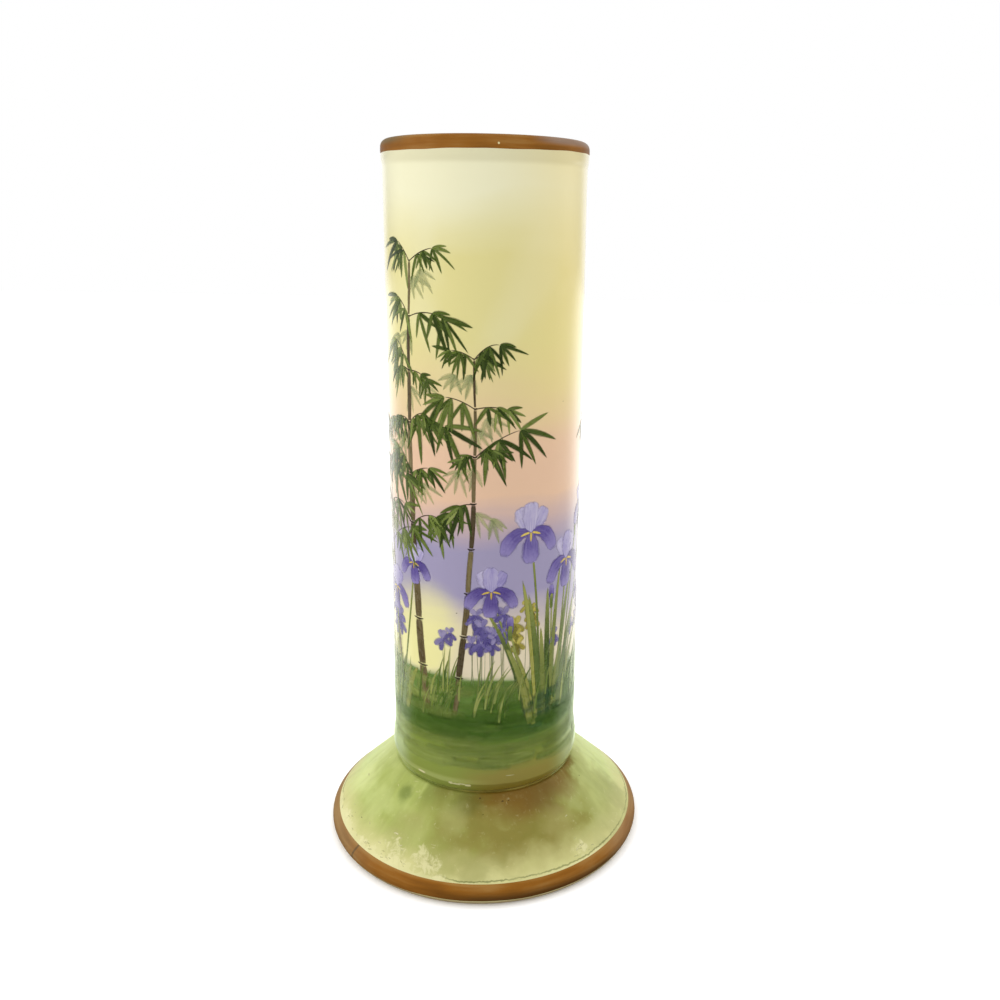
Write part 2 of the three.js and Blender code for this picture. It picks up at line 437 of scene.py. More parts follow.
def wrapped_quads(rows, columns, wrap_rows):
    """Corner indices of the faces between the rings of a grid whose columns run right round"""
    row = np.arange(rows if wrap_rows else rows - 1)[:, None]
    column = np.arange(columns)[None, :]
    above, beside = (row + 1) % rows, (column + 1) % columns
    corners = (
        row * columns + column,
        row * columns + beside,
        above * columns + beside,
        above * columns + column,
    )
    return np.stack([np.broadcast_to(corner, (len(row), columns)) for corner in corners], -1).reshape(-1, 4)


def ring_uv(rows, columns):
    """The UV corners of the faces of a grid whose columns run right round, in the order of wrapped_quads"""
    across, up = np.meshgrid(np.arange(columns) / columns, np.arange(rows) / rows)
    next_across, next_up = across + 1 / columns, up + 1 / rows
    corners = np.stack([across, up, next_across, up, next_across, next_up, across, next_up], -1)
    return corners.reshape(-1, 2)


def all_round(columns):
    """The angles of the columns of a piece, as one row"""
    return np.linspace(-math.pi, math.pi, columns, endpoint=False)[None, :]


def on_circle(radius, angle, height):
    """Places at an angle round the axis from the front towards +X"""
    return np.stack([radius * np.sin(angle), -radius * np.cos(angle), height], -1)


def turned_piece(name, sizes, outline, material):
    """A surface of revolution: each outline point (r, h) goes round as (r sin a, -r cos a, h), swelling with
    the cast wall. An outline that starts and ends on the axis gets a pole at each end, and any other closes
    on itself."""
    poles = outline[0][0] < TINY
    rings = outline[1:-1] if poles else outline
    columns = sizes.columns
    angle = all_round(columns)
    radius = np.repeat(rings[:, :1], columns, 1)
    height = np.repeat(rings[:, 1:], columns, 1)
    radius = radius + unevenness(sizes, angle, height)
    vertices = on_circle(radius, angle, height).reshape(-1, 3)
    quads = wrapped_quads(len(rings), columns, not poles)
    uv = ring_uv(len(quads) // columns, columns)
    faces = quads.tolist()
    if poles:
        first = np.arange(columns)
        second = (first + 1) % columns
        count = len(vertices)
        last_ring = count - columns
        vertices = np.concatenate([vertices, [(0, 0, outline[0][1]), (0, 0, outline[-1][1])]])
        low_fan = np.stack([np.full(columns, count), second, first], -1)
        high_fan = np.stack([last_ring + first, last_ring + second, np.full(columns, count + 1)], -1)
        faces += low_fan.tolist() + high_fan.tolist()
        share = np.repeat(first / columns, 3)
        ends = [np.column_stack([share, np.full_like(share, end)]) for end in (0, 1)]
        uv = np.concatenate([uv, *ends])
    return new_piece(name, vertices, faces, uv, material)


# Rings of a band on each of its faces, and how far its edges wander. Its lower edge is lifted, and its ends
# run past each other, at an angle round the axis and with a spread to either side, in radians.
BAND_ROWS = 26
BAND_WANDER = 0.12 * MM
BAND_LIFT = (1.2, 0.6)
BAND_OVERLAP = (2.2, 0.05)


def swelling(angle, middle, spread):
    """One at the middle angle, falling off as a bell curve to either side"""
    return np.exp(-(((angle - middle) / spread) ** 2))


def band_piece(name, sizes, outline, material, overlap, lift):
    """A fired band: its outline, run right round, with edges that wander like a brush's. Every ring of the
    grid lies at one share of the way from the lower to the upper edge, and the band thins to nothing at both
    edges. overlap is how far its two ends run past each other, and lift how far the lower edge rises at the
    right."""
    along = way_along(outline)
    tangent = np.gradient(outline, along, axis=0)
    tangent /= np.linalg.norm(tangent, axis=1)[:, None]
    outward = np.column_stack([tangent[:, 1], -tangent[:, 0]])
    rows, columns = BAND_ROWS, sizes.columns
    angle = all_round(columns)
    share = np.linspace(0, 1, rows)[:, None]
    wander = BAND_WANDER
    low = wander * waves(LOW_EDGE_WAVES, angle) / 2 + wander + lift * swelling(angle, *BAND_LIFT)
    high = along[-1] - wander * waves(HIGH_EDGE_WAVES, angle) / 2 - wander
    high = high - overlap * swelling(angle, *BAND_OVERLAP)
    place = low + (high - low) * share
    cover = sizes.band_cover * (1 - np.abs(2 * share - 1) ** 14) * np.ones_like(angle)
    sheets = []
    for depth in (sizes.band_cover - cover, np.full_like(cover, sizes.band_cover * 3)):
        radius, height = (
            np.interp(place, along, outline[:, axis]) - depth * np.interp(place, along, outward[:, axis])
            for axis in (0, 1)
        )
        radius = radius + unevenness(sizes, angle, height)
        sheets.append(on_circle(radius, angle, height))
    vertices = np.concatenate([sheets[0], sheets[1][::-1]]).reshape(-1, 3)
    quads = wrapped_quads(2 * rows, columns, True)
    return new_piece(name, vertices, quads.tolist(), ring_uv(2 * rows, columns), material)


# Strokes of paint on the tube and the foot


class Strokes:
    """A growing list of brush strokes, each a curve in (arc, height) with a half width, a tint and a layer"""

    def __init__(self, seed):
        self.random = np.random.default_rng(seed)
        self.rows = []

    def add(self, start, bend, end, half_width, tint, layer=0.0):
        self.rows.append((*start, *bend, *end, half_width, tint, layer))

    def arched(self, start, direction, reach, sag, half_width, tint, layer=0.0):
        """A stroke that leaves start in a direction in degrees from +arc, and sags at its end"""
        turn = math.radians(direction)
        ahead = np.array([math.cos(turn), math.sin(turn)])
        bend = np.array(start) + ahead * reach * 0.5
        end = np.array(start) + ahead * reach - np.array([0, sag])
        self.add(start, bend, end, half_width, tint, layer)


def painted_wall(sizes, profile, outward):
    """A function that puts (arc, way, lift) in millimetres on a turned wall, whose profile gives the radius
    and the height at a way along it. Arcs are measured at the mean radius of the tube, on the foot too, so
    that both share one angle."""
    mean = (sizes.tube_base_radius + sizes.tube_top_radius) / 2

    def place(reach, way, lift):
        angle = reach * MM / mean
        radius, height = profile(way * MM)
        radius = radius + unevenness(sizes, angle, height) + lift * MM * outward[0]
        return on_circle(radius, angle, height + lift * MM * outward[1])

    return place


def tube_surface(sizes):
    """Puts (arc, height, lift) in millimetres on the outside of the tube"""
    side = tube_side(sizes)
    return painted_wall(sizes, lambda up: (np.interp(up, side[:, 1], side[:, 0]), up), (1, 0))


def foot_surface(sizes):
    """Puts (arc, distance up the slope, lift) in millimetres on the top of the foot"""
    slope = FootSlope(sizes)
    top = foot_top(sizes, slope)
    along = way_along(top)
    return painted_wall(sizes, lambda way: [np.interp(way, along, part) for part in top.T], slope.outward)


# Seven points across a stroke, as shares of its half width: their height in the crown, and which lie under it
STROKE_ACROSS = np.array([-1, -0.55, 0, 0.55, 1, 1, -1])
STROKE_CROWN = np.array([0.35, 0.85, 1, 0.85, 0.35, 0, 0])
STROKE_UNDER = np.array([False] * 5 + [True] * 2)

# Waves of a frilled edge: their size, and their turns with the stroke's own phase and along it
FRILL_WAVES = ((1.0, 1, 17), (0.6, 2, 31))

# A stroke's grid starts and ends at these shares of its length. It stands proud of its layer by one of three
# thicknesses where its half width is FULL_WIDTH or more, and UNDERSIDE is where its underside lies, all in
# millimetres. LEAST_SWELL is the share of its half width that it keeps at its ends.
STROKE_ENDS = (0.015, 0.985)
THICKNESS, CHIP, THIN = 0.014, 0.01, 0.006
FULL_WIDTH = 0.3
UNDERSIDE = -0.02
LEAST_SWELL = 0.02


def painted_piece(name, strokes, surface, material, rise, fall, steps=8, thickness=THICKNESS, frill=0.0):
    """One piece of many closed strokes. Along a stroke, with t from 0 to 1, the middle line is the quadratic
    curve of its start, bend and end, and the half width is t^rise (1 - t)^fall, scaled to a peak of one,
    times its own half width. Across it, seven points make a low crown over the surface and a flat underside
    just below it."""
    table = np.array(strokes.rows)
    start, bend, end = (table[:, None, at : at + 2] for at in (0, 2, 4))
    half_width, tint, layer = table[:, 6], table[:, 7], table[:, 8]
    count = len(table)
    t = np.linspace(*STROKE_ENDS, steps + 1)[None, :]
    share = t[..., None]
    middle = start * (1 - share) ** 2 + 2 * bend * share * (1 - share) + end * share**2
    heading = 2 * (bend - start) * (1 - share) + 2 * (end - bend) * share
    heading /= np.linalg.norm(heading, axis=2, keepdims=True) + TINY
    sideways = np.stack([-heading[..., 1], heading[..., 0]], -1)
    peak = (rise / (rise + fall)) ** rise * (fall / (rise + fall)) ** fall
    swell = t**rise * (1 - t) ** fall / peak
    phase = strokes.random.uniform(0, 2 * math.pi, (count, 1))
    swell = swell * (1 + sum(size * frill * np.sin(a * phase + b * t) for size, a, b in FRILL_WAVES))
    width = half_width[:, None] * np.maximum(swell, LEAST_SWELL)
    grid = middle[:, :, None] + sideways[:, :, None] * (width[..., None] * STROKE_ACROSS)[..., None]
    lift = layer[:, None, None] + thickness * STROKE_CROWN * np.minimum(1, width / FULL_WIDTH)[..., None]
    lift = np.where(STROKE_UNDER, UNDERSIDE, lift)
    vertices = surface(grid[..., 0], grid[..., 1], lift).reshape(-1, 3)
    ring = len(STROKE_ACROSS)
    quads = wrapped_quads(steps + 1, ring, False)
    offset = (np.arange(count) * (steps + 1) * ring)[:, None]
    faces = (quads[None] + offset[..., None]).reshape(-1, 4)
    cap = np.arange(ring)
    low_caps = cap[::-1] + offset
    high_caps = steps * ring + cap + offset
    run = np.repeat(np.repeat(t, count, 0)[..., None], ring, 2)
    side = np.broadcast_to((STROKE_ACROSS + 1) / 2, run.shape)
    uv = np.stack([run, side], -1).reshape(-1, 2)
    corner_index = np.concatenate([faces.ravel(), low_caps.ravel(), high_caps.ravel()])
    values = {
        "tint": np.repeat(tint, (steps + 1) * ring),
        "chance": np.repeat(strokes.random.random(count), (steps + 1) * ring),
    }
    all_faces = faces.tolist() + low_caps.tolist() + high_caps.tolist()
    return new_piece(name, vertices, all_faces, uv[corner_index], material, values)


# Shader nodes


class Graph:
    """Adds nodes to one tree and joins them. Most calls give back the output socket of the node that they
    add. here is the place on the surface that noises and shared effects are worked out for."""

    def __init__(self, tree):
        self.tree = tree
        self.here = None

    def node(self, kind, inputs=None, **settings):
        node = self.tree.nodes.new(kind)
        for key, value in settings.items():
            setattr(node, key, value)
        for key, value in (inputs or {}).items():
            if isinstance(value, bpy.types.NodeSocket):
                self.tree.links.new(value, node.inputs[key])
            else:
                node.inputs[key].default_value = value
        return node

    def add(self, kind, inputs=None, output=0, **settings):
        return self.node(kind, inputs, **settings).outputs[output]

    def math(self, operation, *values):
        return self.add("ShaderNodeMath", dict(enumerate(values)), operation=operation)

    def times(self, first, *others):
        for other in others:
            first = self.math("MULTIPLY", first, other)
        return first

    def plus(self, first, second):
        return self.math("ADD", first, second)

    def minus(self, first, second):
        return self.math("SUBTRACT", first, second)

    def most(self, first, second):
        return self.math("MAXIMUM", first, second)

    def scaled(self, value, factor, offset):
        return self.math("MULTIPLY_ADD", value, factor, offset)

    def off(self, value, centre):
        """How far a value lies from a centre, to either side"""
        return self.math("ABSOLUTE", self.minus(value, centre))

    def stirred(self, value, noise, reach):
        """A value pushed to and fro by a noise, over a reach"""
        return self.scaled(self.minus(noise, 0.5), reach, value)

    def vector(self, operation, *values, output=0):
        return self.add("ShaderNodeVectorMath", dict(enumerate(values)), output, operation=operation)

    def apart(self, vector):
        """The three parts of a vector, by name"""
        return self.add("ShaderNodeSeparateXYZ", {0: vector}).node.outputs

    def noise(self, scale, detail=2.0, roughness=0.5, distortion=0.0, at=None):
        """Noise over this place of the surface, or over another vector"""
        inputs = {"Scale": scale, "Detail": detail, "Roughness": roughness, "Distortion": distortion}
        return self.add("ShaderNodeTexNoise", {"Vector": self.here if at is None else at, **inputs})

    def between(self, value, low, high, to_low=0.0, to_high=1.0):
        """Smoothly from to_low at low to to_high at high"""
        inputs = {0: value, 1: low, 2: high, 3: to_low, 4: to_high}
        return self.add("ShaderNodeMapRange", inputs, interpolation_type="SMOOTHSTEP")

    def mix(self, factor, first, second, blend="MIX"):
        inputs = {0: factor, 6: first, 7: second}
        return self.add("ShaderNodeMix", inputs, 2, data_type="RGBA", blend_type=blend)

    def lay(self, base, *coats):
        """A base colour under coats, each given as its cover and its colour"""
        for cover, shade in coats:
            base = self.mix(cover, base, shade)
        return base

    def ramp(self, value, stops):
        socket = self.add("ShaderNodeValToRGB", {0: value})
        elements = socket.node.color_ramp.elements
        elements.remove(elements[1])
        for index, (position, shade) in enumerate(stops):
            element = elements[0] if index == 0 else elements.new(position)
            element.position = position
            element.color = shade_of(shade)
        return socket

    def effect(self, name, **inputs):
        """A shared effect at this place of the surface"""
        return self.group(name, Vector=self.here, **inputs)

    def group(self, name, **inputs):
        return self.add("ShaderNodeGroup", inputs, node_tree=shared_group(name))

    def place(self):
        """Where this place lies on the vase, by name: Radius, Height, Angle and Direction"""
        return self.effect("place").node.outputs


def new_group(name, **inputs):
    """A shader node group, whose inputs take their kinds from their defaults, as its graph and its inputs"""
    tree = bpy.data.node_groups.new(name, "ShaderNodeTree")
    for key, default in inputs.items():
        kind = "NodeSocketVector" if isinstance(default, tuple) else "NodeSocketFloat"
        tree.interface.new_socket(key, in_out="INPUT", socket_type=kind).default_value = default
    entry = tree.nodes.new("NodeGroupInput")
    graph = Graph(tree)
    given = {socket.name: socket for socket in entry.outputs if socket.name}
    graph.here = given.get("Vector")
    return graph, given


def close_group(graph, **results):
    """Leads the results out of a group, under their names"""
    for key, socket in results.items():
        kind = "NodeSocketVector" if socket.type == "VECTOR" else "NodeSocketFloat"
        graph.tree.interface.new_socket(key, in_out="OUTPUT", socket_type=kind)
    leave = graph.tree.nodes.new("NodeGroupOutput")
    for key, socket in results.items():
        graph.tree.links.new(socket, leave.inputs[key])
    return graph.tree


ORIGIN = (0.0, 0.0, 0.0)


def place_group(name):
    """Where a point lies on the vase: distance from the axis, height, angle round the front in radians, and
    the level direction from the axis to it"""
    graph, given = new_group(name, Vector=ORIGIN)
    axes = graph.apart(given["Vector"])
    flat = graph.vector("MULTIPLY", given["Vector"], (1, 1, 0))
    return close_group(
        graph,
        Radius=graph.vector("LENGTH", flat, output=1),
        Height=axes["Z"],
        Angle=graph.math("ARCTAN2", axes["X"], graph.times(axes["Y"], -1)),
        Direction=graph.vector("NORMALIZE", flat),
    )


def brush_group(name):
    """Marks of a broad brush drawn round the vase: noise that is long round the axis and short along it"""
    graph, given = new_group(name, Vector=ORIGIN, Round=90.0, Along=700.0, Detail=4.0, Distortion=0.4)
    stretch = graph.add("ShaderNodeCombineXYZ", {0: given["Round"], 1: given["Round"], 2: given["Along"]})
    drawn = graph.vector("MULTIPLY", given["Vector"], stretch)
    return close_group(graph, Value=graph.noise(1.0, given["Detail"], 0.55, given["Distortion"], at=drawn))


def slope_group(name):
    """Marks of a brush on the slope of the foot: noise over the direction from the axis, joined with the
    distance from it. They are drawn out down the slope where Level is nought, and round the foot where it is
    one."""
    graph, given = new_group(name, Direction=ORIGIN, Radius=0.03, Level=0.0)
    marks = []
    for round_scale, outward_scale in ((9.0, 130.0), (4.0, 300.0)):
        turned = graph.vector("MULTIPLY", given["Direction"], (round_scale, round_scale, 0.0))
        outward = graph.add("ShaderNodeCombineXYZ", {2: graph.times(given["Radius"], outward_scale)})
        marks.append(graph.noise(1.0, 4.0, 0.5, 0.15, at=graph.vector("ADD", turned, outward)))
    value = graph.add("ShaderNodeMix", {0: given["Level"], 2: marks[0], 3: marks[1]})
    return close_group(graph, Value=value)


def speck_group(name):
    """Small round specks scattered through a glaze, of which only a share show"""
    graph, given = new_group(name, Vector=ORIGIN, Scale=400.0, Size=0.12, Share=0.05)
    inputs = {"Vector": given["Vector"], "Scale": given["Scale"], "Randomness": 1.0}
    cells = graph.add("ShaderNodeTexVoronoi", inputs).node.outputs
    chance = graph.add("ShaderNodeSeparateColor", {0: cells["Color"]})
    shown = graph.math("LESS_THAN", chance, given["Share"])
    round_spot = graph.between(cells["Distance"], graph.times(given["Size"], 0.5), given["Size"], 1.0, 0.0)
    return close_group(graph, Mask=graph.times(shown, round_spot))


def spot_group(name):
    """A soft round spot about a place on the surface: one in the middle, fading to nothing at its radius"""
    graph, given = new_group(name, Vector=ORIGIN, Centre=ORIGIN, Radius=0.005, Ragged=0.3)
    away = graph.vector("DISTANCE", given["Vector"], given["Centre"], output=1)
    share = graph.math("DIVIDE", away, given["Radius"])
    share = graph.stirred(share, graph.noise(350.0, 3.0), given["Ragged"])
    return close_group(graph, Mask=graph.between(share, 0.25, 1.0, 1.0, 0.0))


def relief_group(name):
    """Height of a glazed surface: slow swells and fine dimples of the glaze, and brush marks of the paint"""
    graph, given = new_group(name, Vector=ORIGIN, Brush=0.5)
    dimples = graph.times(graph.noise(700.0, 1.0), 0.2)
    total = graph.scaled(graph.noise(90.0, 1.0), 1.6, dimples)
    return close_group(graph, Height=graph.plus(total, given["Brush"]))


GROUP_MAKERS = {
    "place": place_group,
    "brush": brush_group,
    "slope": slope_group,
    "specks": speck_group,
    "spot": spot_group,
    "relief": relief_group,
}


def shared_group(name):
    """A shared effect, built when it is first asked for"""
    return bpy.data.node_groups.get(name) or GROUP_MAKERS[name](name)


def new_material(name):
    """An empty material and the graph of its tree, at the place that the object's coordinates give"""
    material = bpy.data.materials.new(name)
    material.use_nodes = True
    material.node_tree.nodes.clear()
    graph = Graph(material.node_tree)
    graph.here = graph.add("ShaderNodeTexCoord", output=3)
    return material, graph


# Gloss of the clear glaze, of the thinly fired paint on the foot, and of the enamel on edge and lip
GLAZED = {"Coat Weight": 0.9, "Coat Roughness": 0.16}
SATIN = {"Specular IOR Level": 0.22}
MATT = {"Specular IOR Level": 0.14}
WAXY = {"Specular IOR Level": 0.2}

# Depth of the relief in metres: of the glazed tube, of strokes of paint, and of all that a brush left rough
GLAZE_DEPTH, STROKE_DEPTH, BRUSHED_DEPTH = 0.00002, 0.000015, 0.00004


def finish_material(graph, base, roughness, height, relief, alpha=None, gloss=GLAZED):
    """The Principled shader of a fired finish, whose relief is the depth of its height in metres. gloss holds
    the values that are the same all over."""
    inputs = {"Base Color": base, "Roughness": roughness}
    bump = {"Height": height, "Strength": 1.0, "Distance": relief}
    inputs["Normal"] = graph.add("ShaderNodeBump", bump)
    if alpha is not None:
        inputs["Alpha"] = alpha
    shader = graph.add("ShaderNodeBsdfPrincipled", inputs)
    for key, value in gloss.items():
        shader.node.inputs[key].default_value = value
    graph.node("ShaderNodeOutputMaterial", {0: shader})


def on_surface(surface, reach, along):
    """One place on a painted surface as three plain numbers"""
    return tuple(float(value) for value in surface(np.array(reach), np.array(along), np.array(0.0)))


# The soft washes under the design: height in millimetres and the name of the colour. On the bead the wash is
# browner paint that is partly a painted highlight.
TUBE_WASH = (
    (18.0, "bead_paint_and_highlight"),
    (20.2, "bead_paint_and_highlight"),
    (22.5, "ground_olive"),
    (26.8, "ground_olive"),
    (29.0, "ground_dark"),
    (34.5, "ground_dark"),
    (38.0, "ground_light"),
    (41.0, "ground_light"),
    (43.5, "sky_milk"),
    (50.0, "sky_milk"),
    (58.0, "sky_lilac"),
    (69.0, "sky_lilac"),
    (80.0, "sky_peach"),
    (90.0, "sky_peach"),
    (108.0, "sky_yellow"),
    (122.0, "sky_yellow"),
    (136.0, "sky_top"),
)

# Greens of the ground from the darkest marks of the brush to the lightest
GROUND_GREENS = ((0.3, (64, 98, 22)), (0.45, (84, 116, 38)), (0.58, (108, 134, 56)), (0.7, (132, 148, 74)))

# Soft patches on the foot: arc and distance up the slope in millimetres, radius in metres, raggedness, cover
# and colour
FOOT_PATCHES = (
    (7.8, 15.6, 0.0064, 0.6, 0.55, (124, 92, 32)),
    (13.0, 14.6, 0.0058, 0.9, 0.5, (112, 88, 38)),
    (13.0, 8.4, 0.0056, 0.9, 0.4, (172, 164, 100)),
    (-10.5, 8.0, 0.0055, 0.9, 0.5, (176, 176, 106)),
    (-5.0, 4.2, 0.0070, 0.9, 0.4, (148, 150, 74)),
    (-15.0, 11.0, 0.0042, 0.9, 0.15, (214, 222, 148)),
    (-15.4, 13.6, 0.0027, 0.8, 0.65, (106, 122, 46)),
    (-2.4, 15.4, 0.0042, 0.9, 0.65, (104, 104, 34)),
    (-19.5, 9.0, 0.0060, 0.9, 0.35, (214, 222, 148)),
    (-27.5, 8.0, 0.0065, 0.9, 0.28, (230, 234, 162)),
    (-0.6, 2.0, 0.0045, 0.9, 0.6, (160, 158, 92)),
    (-4.1, 12.0, 0.0045, 0.9, 0.4, (178, 176, 110)),
    (17.4, 14.4, 0.0044, 0.9, 0.45, (134, 112, 58)),
    (27.0, 4.8, 0.0065, 0.9, 0.3, (156, 156, 98)),
)

# Where the paint has worn to pale glaze: arc and distance up the slope in millimetres, radius in metres. The
# one at arc 14.6 mm lies round a painted glint, so it is partly a painted highlight.
WORN_PLACES = (
    (-11.5, 2.4, 0.0050),
    (-16.6, 0.4, 0.0032),
    (-5.8, 2.4, 0.0038),
    (-7.6, 3.6, 0.0042),
    (-23.0, 0.8, 0.0032),
    (14.6, 2.4, 0.0026),
    (-5.0, 0.6, 0.0030),
)


def tube_material(colours, sizes):
    """Washes of paint blended up the tube, brushed green at the foot, and plain white glaze inside. Painted
    shade lies under the bead and under the lip, a painted highlight along the bead, and a painted sheen at
    the sides of the green.
    """
    material, graph = new_material("tube_glaze")
    between, times, off = graph.between, graph.times, graph.off
    place = graph.place()
    level, round_to = place["Height"], place["Angle"]
    drift = graph.noise(24.0, 2.0, 0.5, 0.5)
    cloud = graph.noise(42.0, 2.0, 0.5, 0.4)
    broad = graph.effect("brush", Round=60.0, Along=300.0, Distortion=0.7)
    fine = graph.effect("brush", Round=150.0, Along=1500.0, Detail=5.0)
    height = graph.stirred(level, broad, between(level, 40 * MM, 48 * MM, 6 * MM, 2.5 * MM))
    height = graph.stirred(height, drift, between(level, 44 * MM, 60 * MM, 0.0, 20 * MM))
    turned = graph.stirred(round_to, drift, 1.5)
    bead = graph.stirred(level, fine, 0.8 * MM)
    stops = [(up * MM / sizes.height, getattr(colours, name)) for up, name in TUBE_WASH]
    wash = graph.ramp(graph.math("DIVIDE", height, sizes.height), stops)

    warm = times(between(off(round_to, 1.3), 1.3, 0.2), between(drift, 0.2, 0.8, 0.35, 0.6))
    cloudy = between(cloud, 0.5, 0.72, 0.0, 0.28)
    sky = graph.lay(wash, (cloudy, colours.sky_top), (warm, colours.sky_warm))
    butter = times(between(height, 41 * MM, 44 * MM), between(height, 62 * MM, 48 * MM))
    butter = times(butter, between(turned, -0.3, -0.7, 0.0, 0.9))

    under_grass = between(height, 41 * MM, 38 * MM)
    ground = times(between(height, 22 * MM, 27 * MM), between(height, 42 * MM, 40 * MM))
    greens = graph.ramp(graph.scaled(fine, 0.4, times(broad, 0.6)), GROUND_GREENS)
    middle = times(between(height, 27 * MM, 30 * MM), under_grass)
    at_left = between(turned, 0.1, -0.6)
    # A painted highlight line along the bead at the left, below the yellower green
    fresh_green_and_highlight = graph.mix(between(bead, 19.0 * MM, 19.8 * MM), colours.bead_highlight_line, colours.ground_fresh)
    # Painted shade under the bead, browner in front and greener at the left
    shade = graph.mix(at_left, colours.joint_shade, colours.joint_green)
    # Paler green at the sides as seen from the front: partly thinner paint, partly a painted sheen
    at_sides = times(between(level, 27 * MM, 23 * MM, 0.35, 0.6), under_grass)
    at_sides = times(between(off(round_to, 0.0), 0.7, 1.1), at_sides)

    wash = graph.lay(
        wash,
        (between(height, 84 * MM, 108 * MM), sky),
        (times(ground, 0.6), greens),
        (butter, colours.sky_butter),
        (times(middle, between(turned, 0.0, -0.6, 0.0, 0.85)), colours.ground_light),
        (times(middle, between(turned, 0.2, 0.6, 0.0, 0.7)), colours.ground_teal),
        (times(at_left, between(height, 27.4 * MM, 26 * MM, 0.0, 0.85)), fresh_green_and_highlight),
        (between(bead, 18.5 * MM, 18.15 * MM, 0.0, 0.9), shade),
        (at_sides, colours.side_sheen_green),
    )
    rim = sizes.rim_band_bottom
    shaded = between(level, rim - 2.5 * MM, rim - 1.5 * MM, 0.0, 0.5)
    wash = graph.mix(shaded, wash, colours.rim_shade, "MULTIPLY")
    specks = graph.effect("specks", Scale=300.0, Size=0.1, Share=0.01)
    inside = between(place["Radius"], 18.9 * MM, 18.3 * MM)
    base = graph.lay(wash, (specks, colours.speck), (inside, colours.white_glaze))
    relief = graph.effect("relief", Brush=times(fine, between(height, 44 * MM, 38 * MM)))
    finish_material(graph, base, between(cloud, 0.3, 0.7, 0.2, 0.27), relief, GLAZE_DEPTH)
    return material


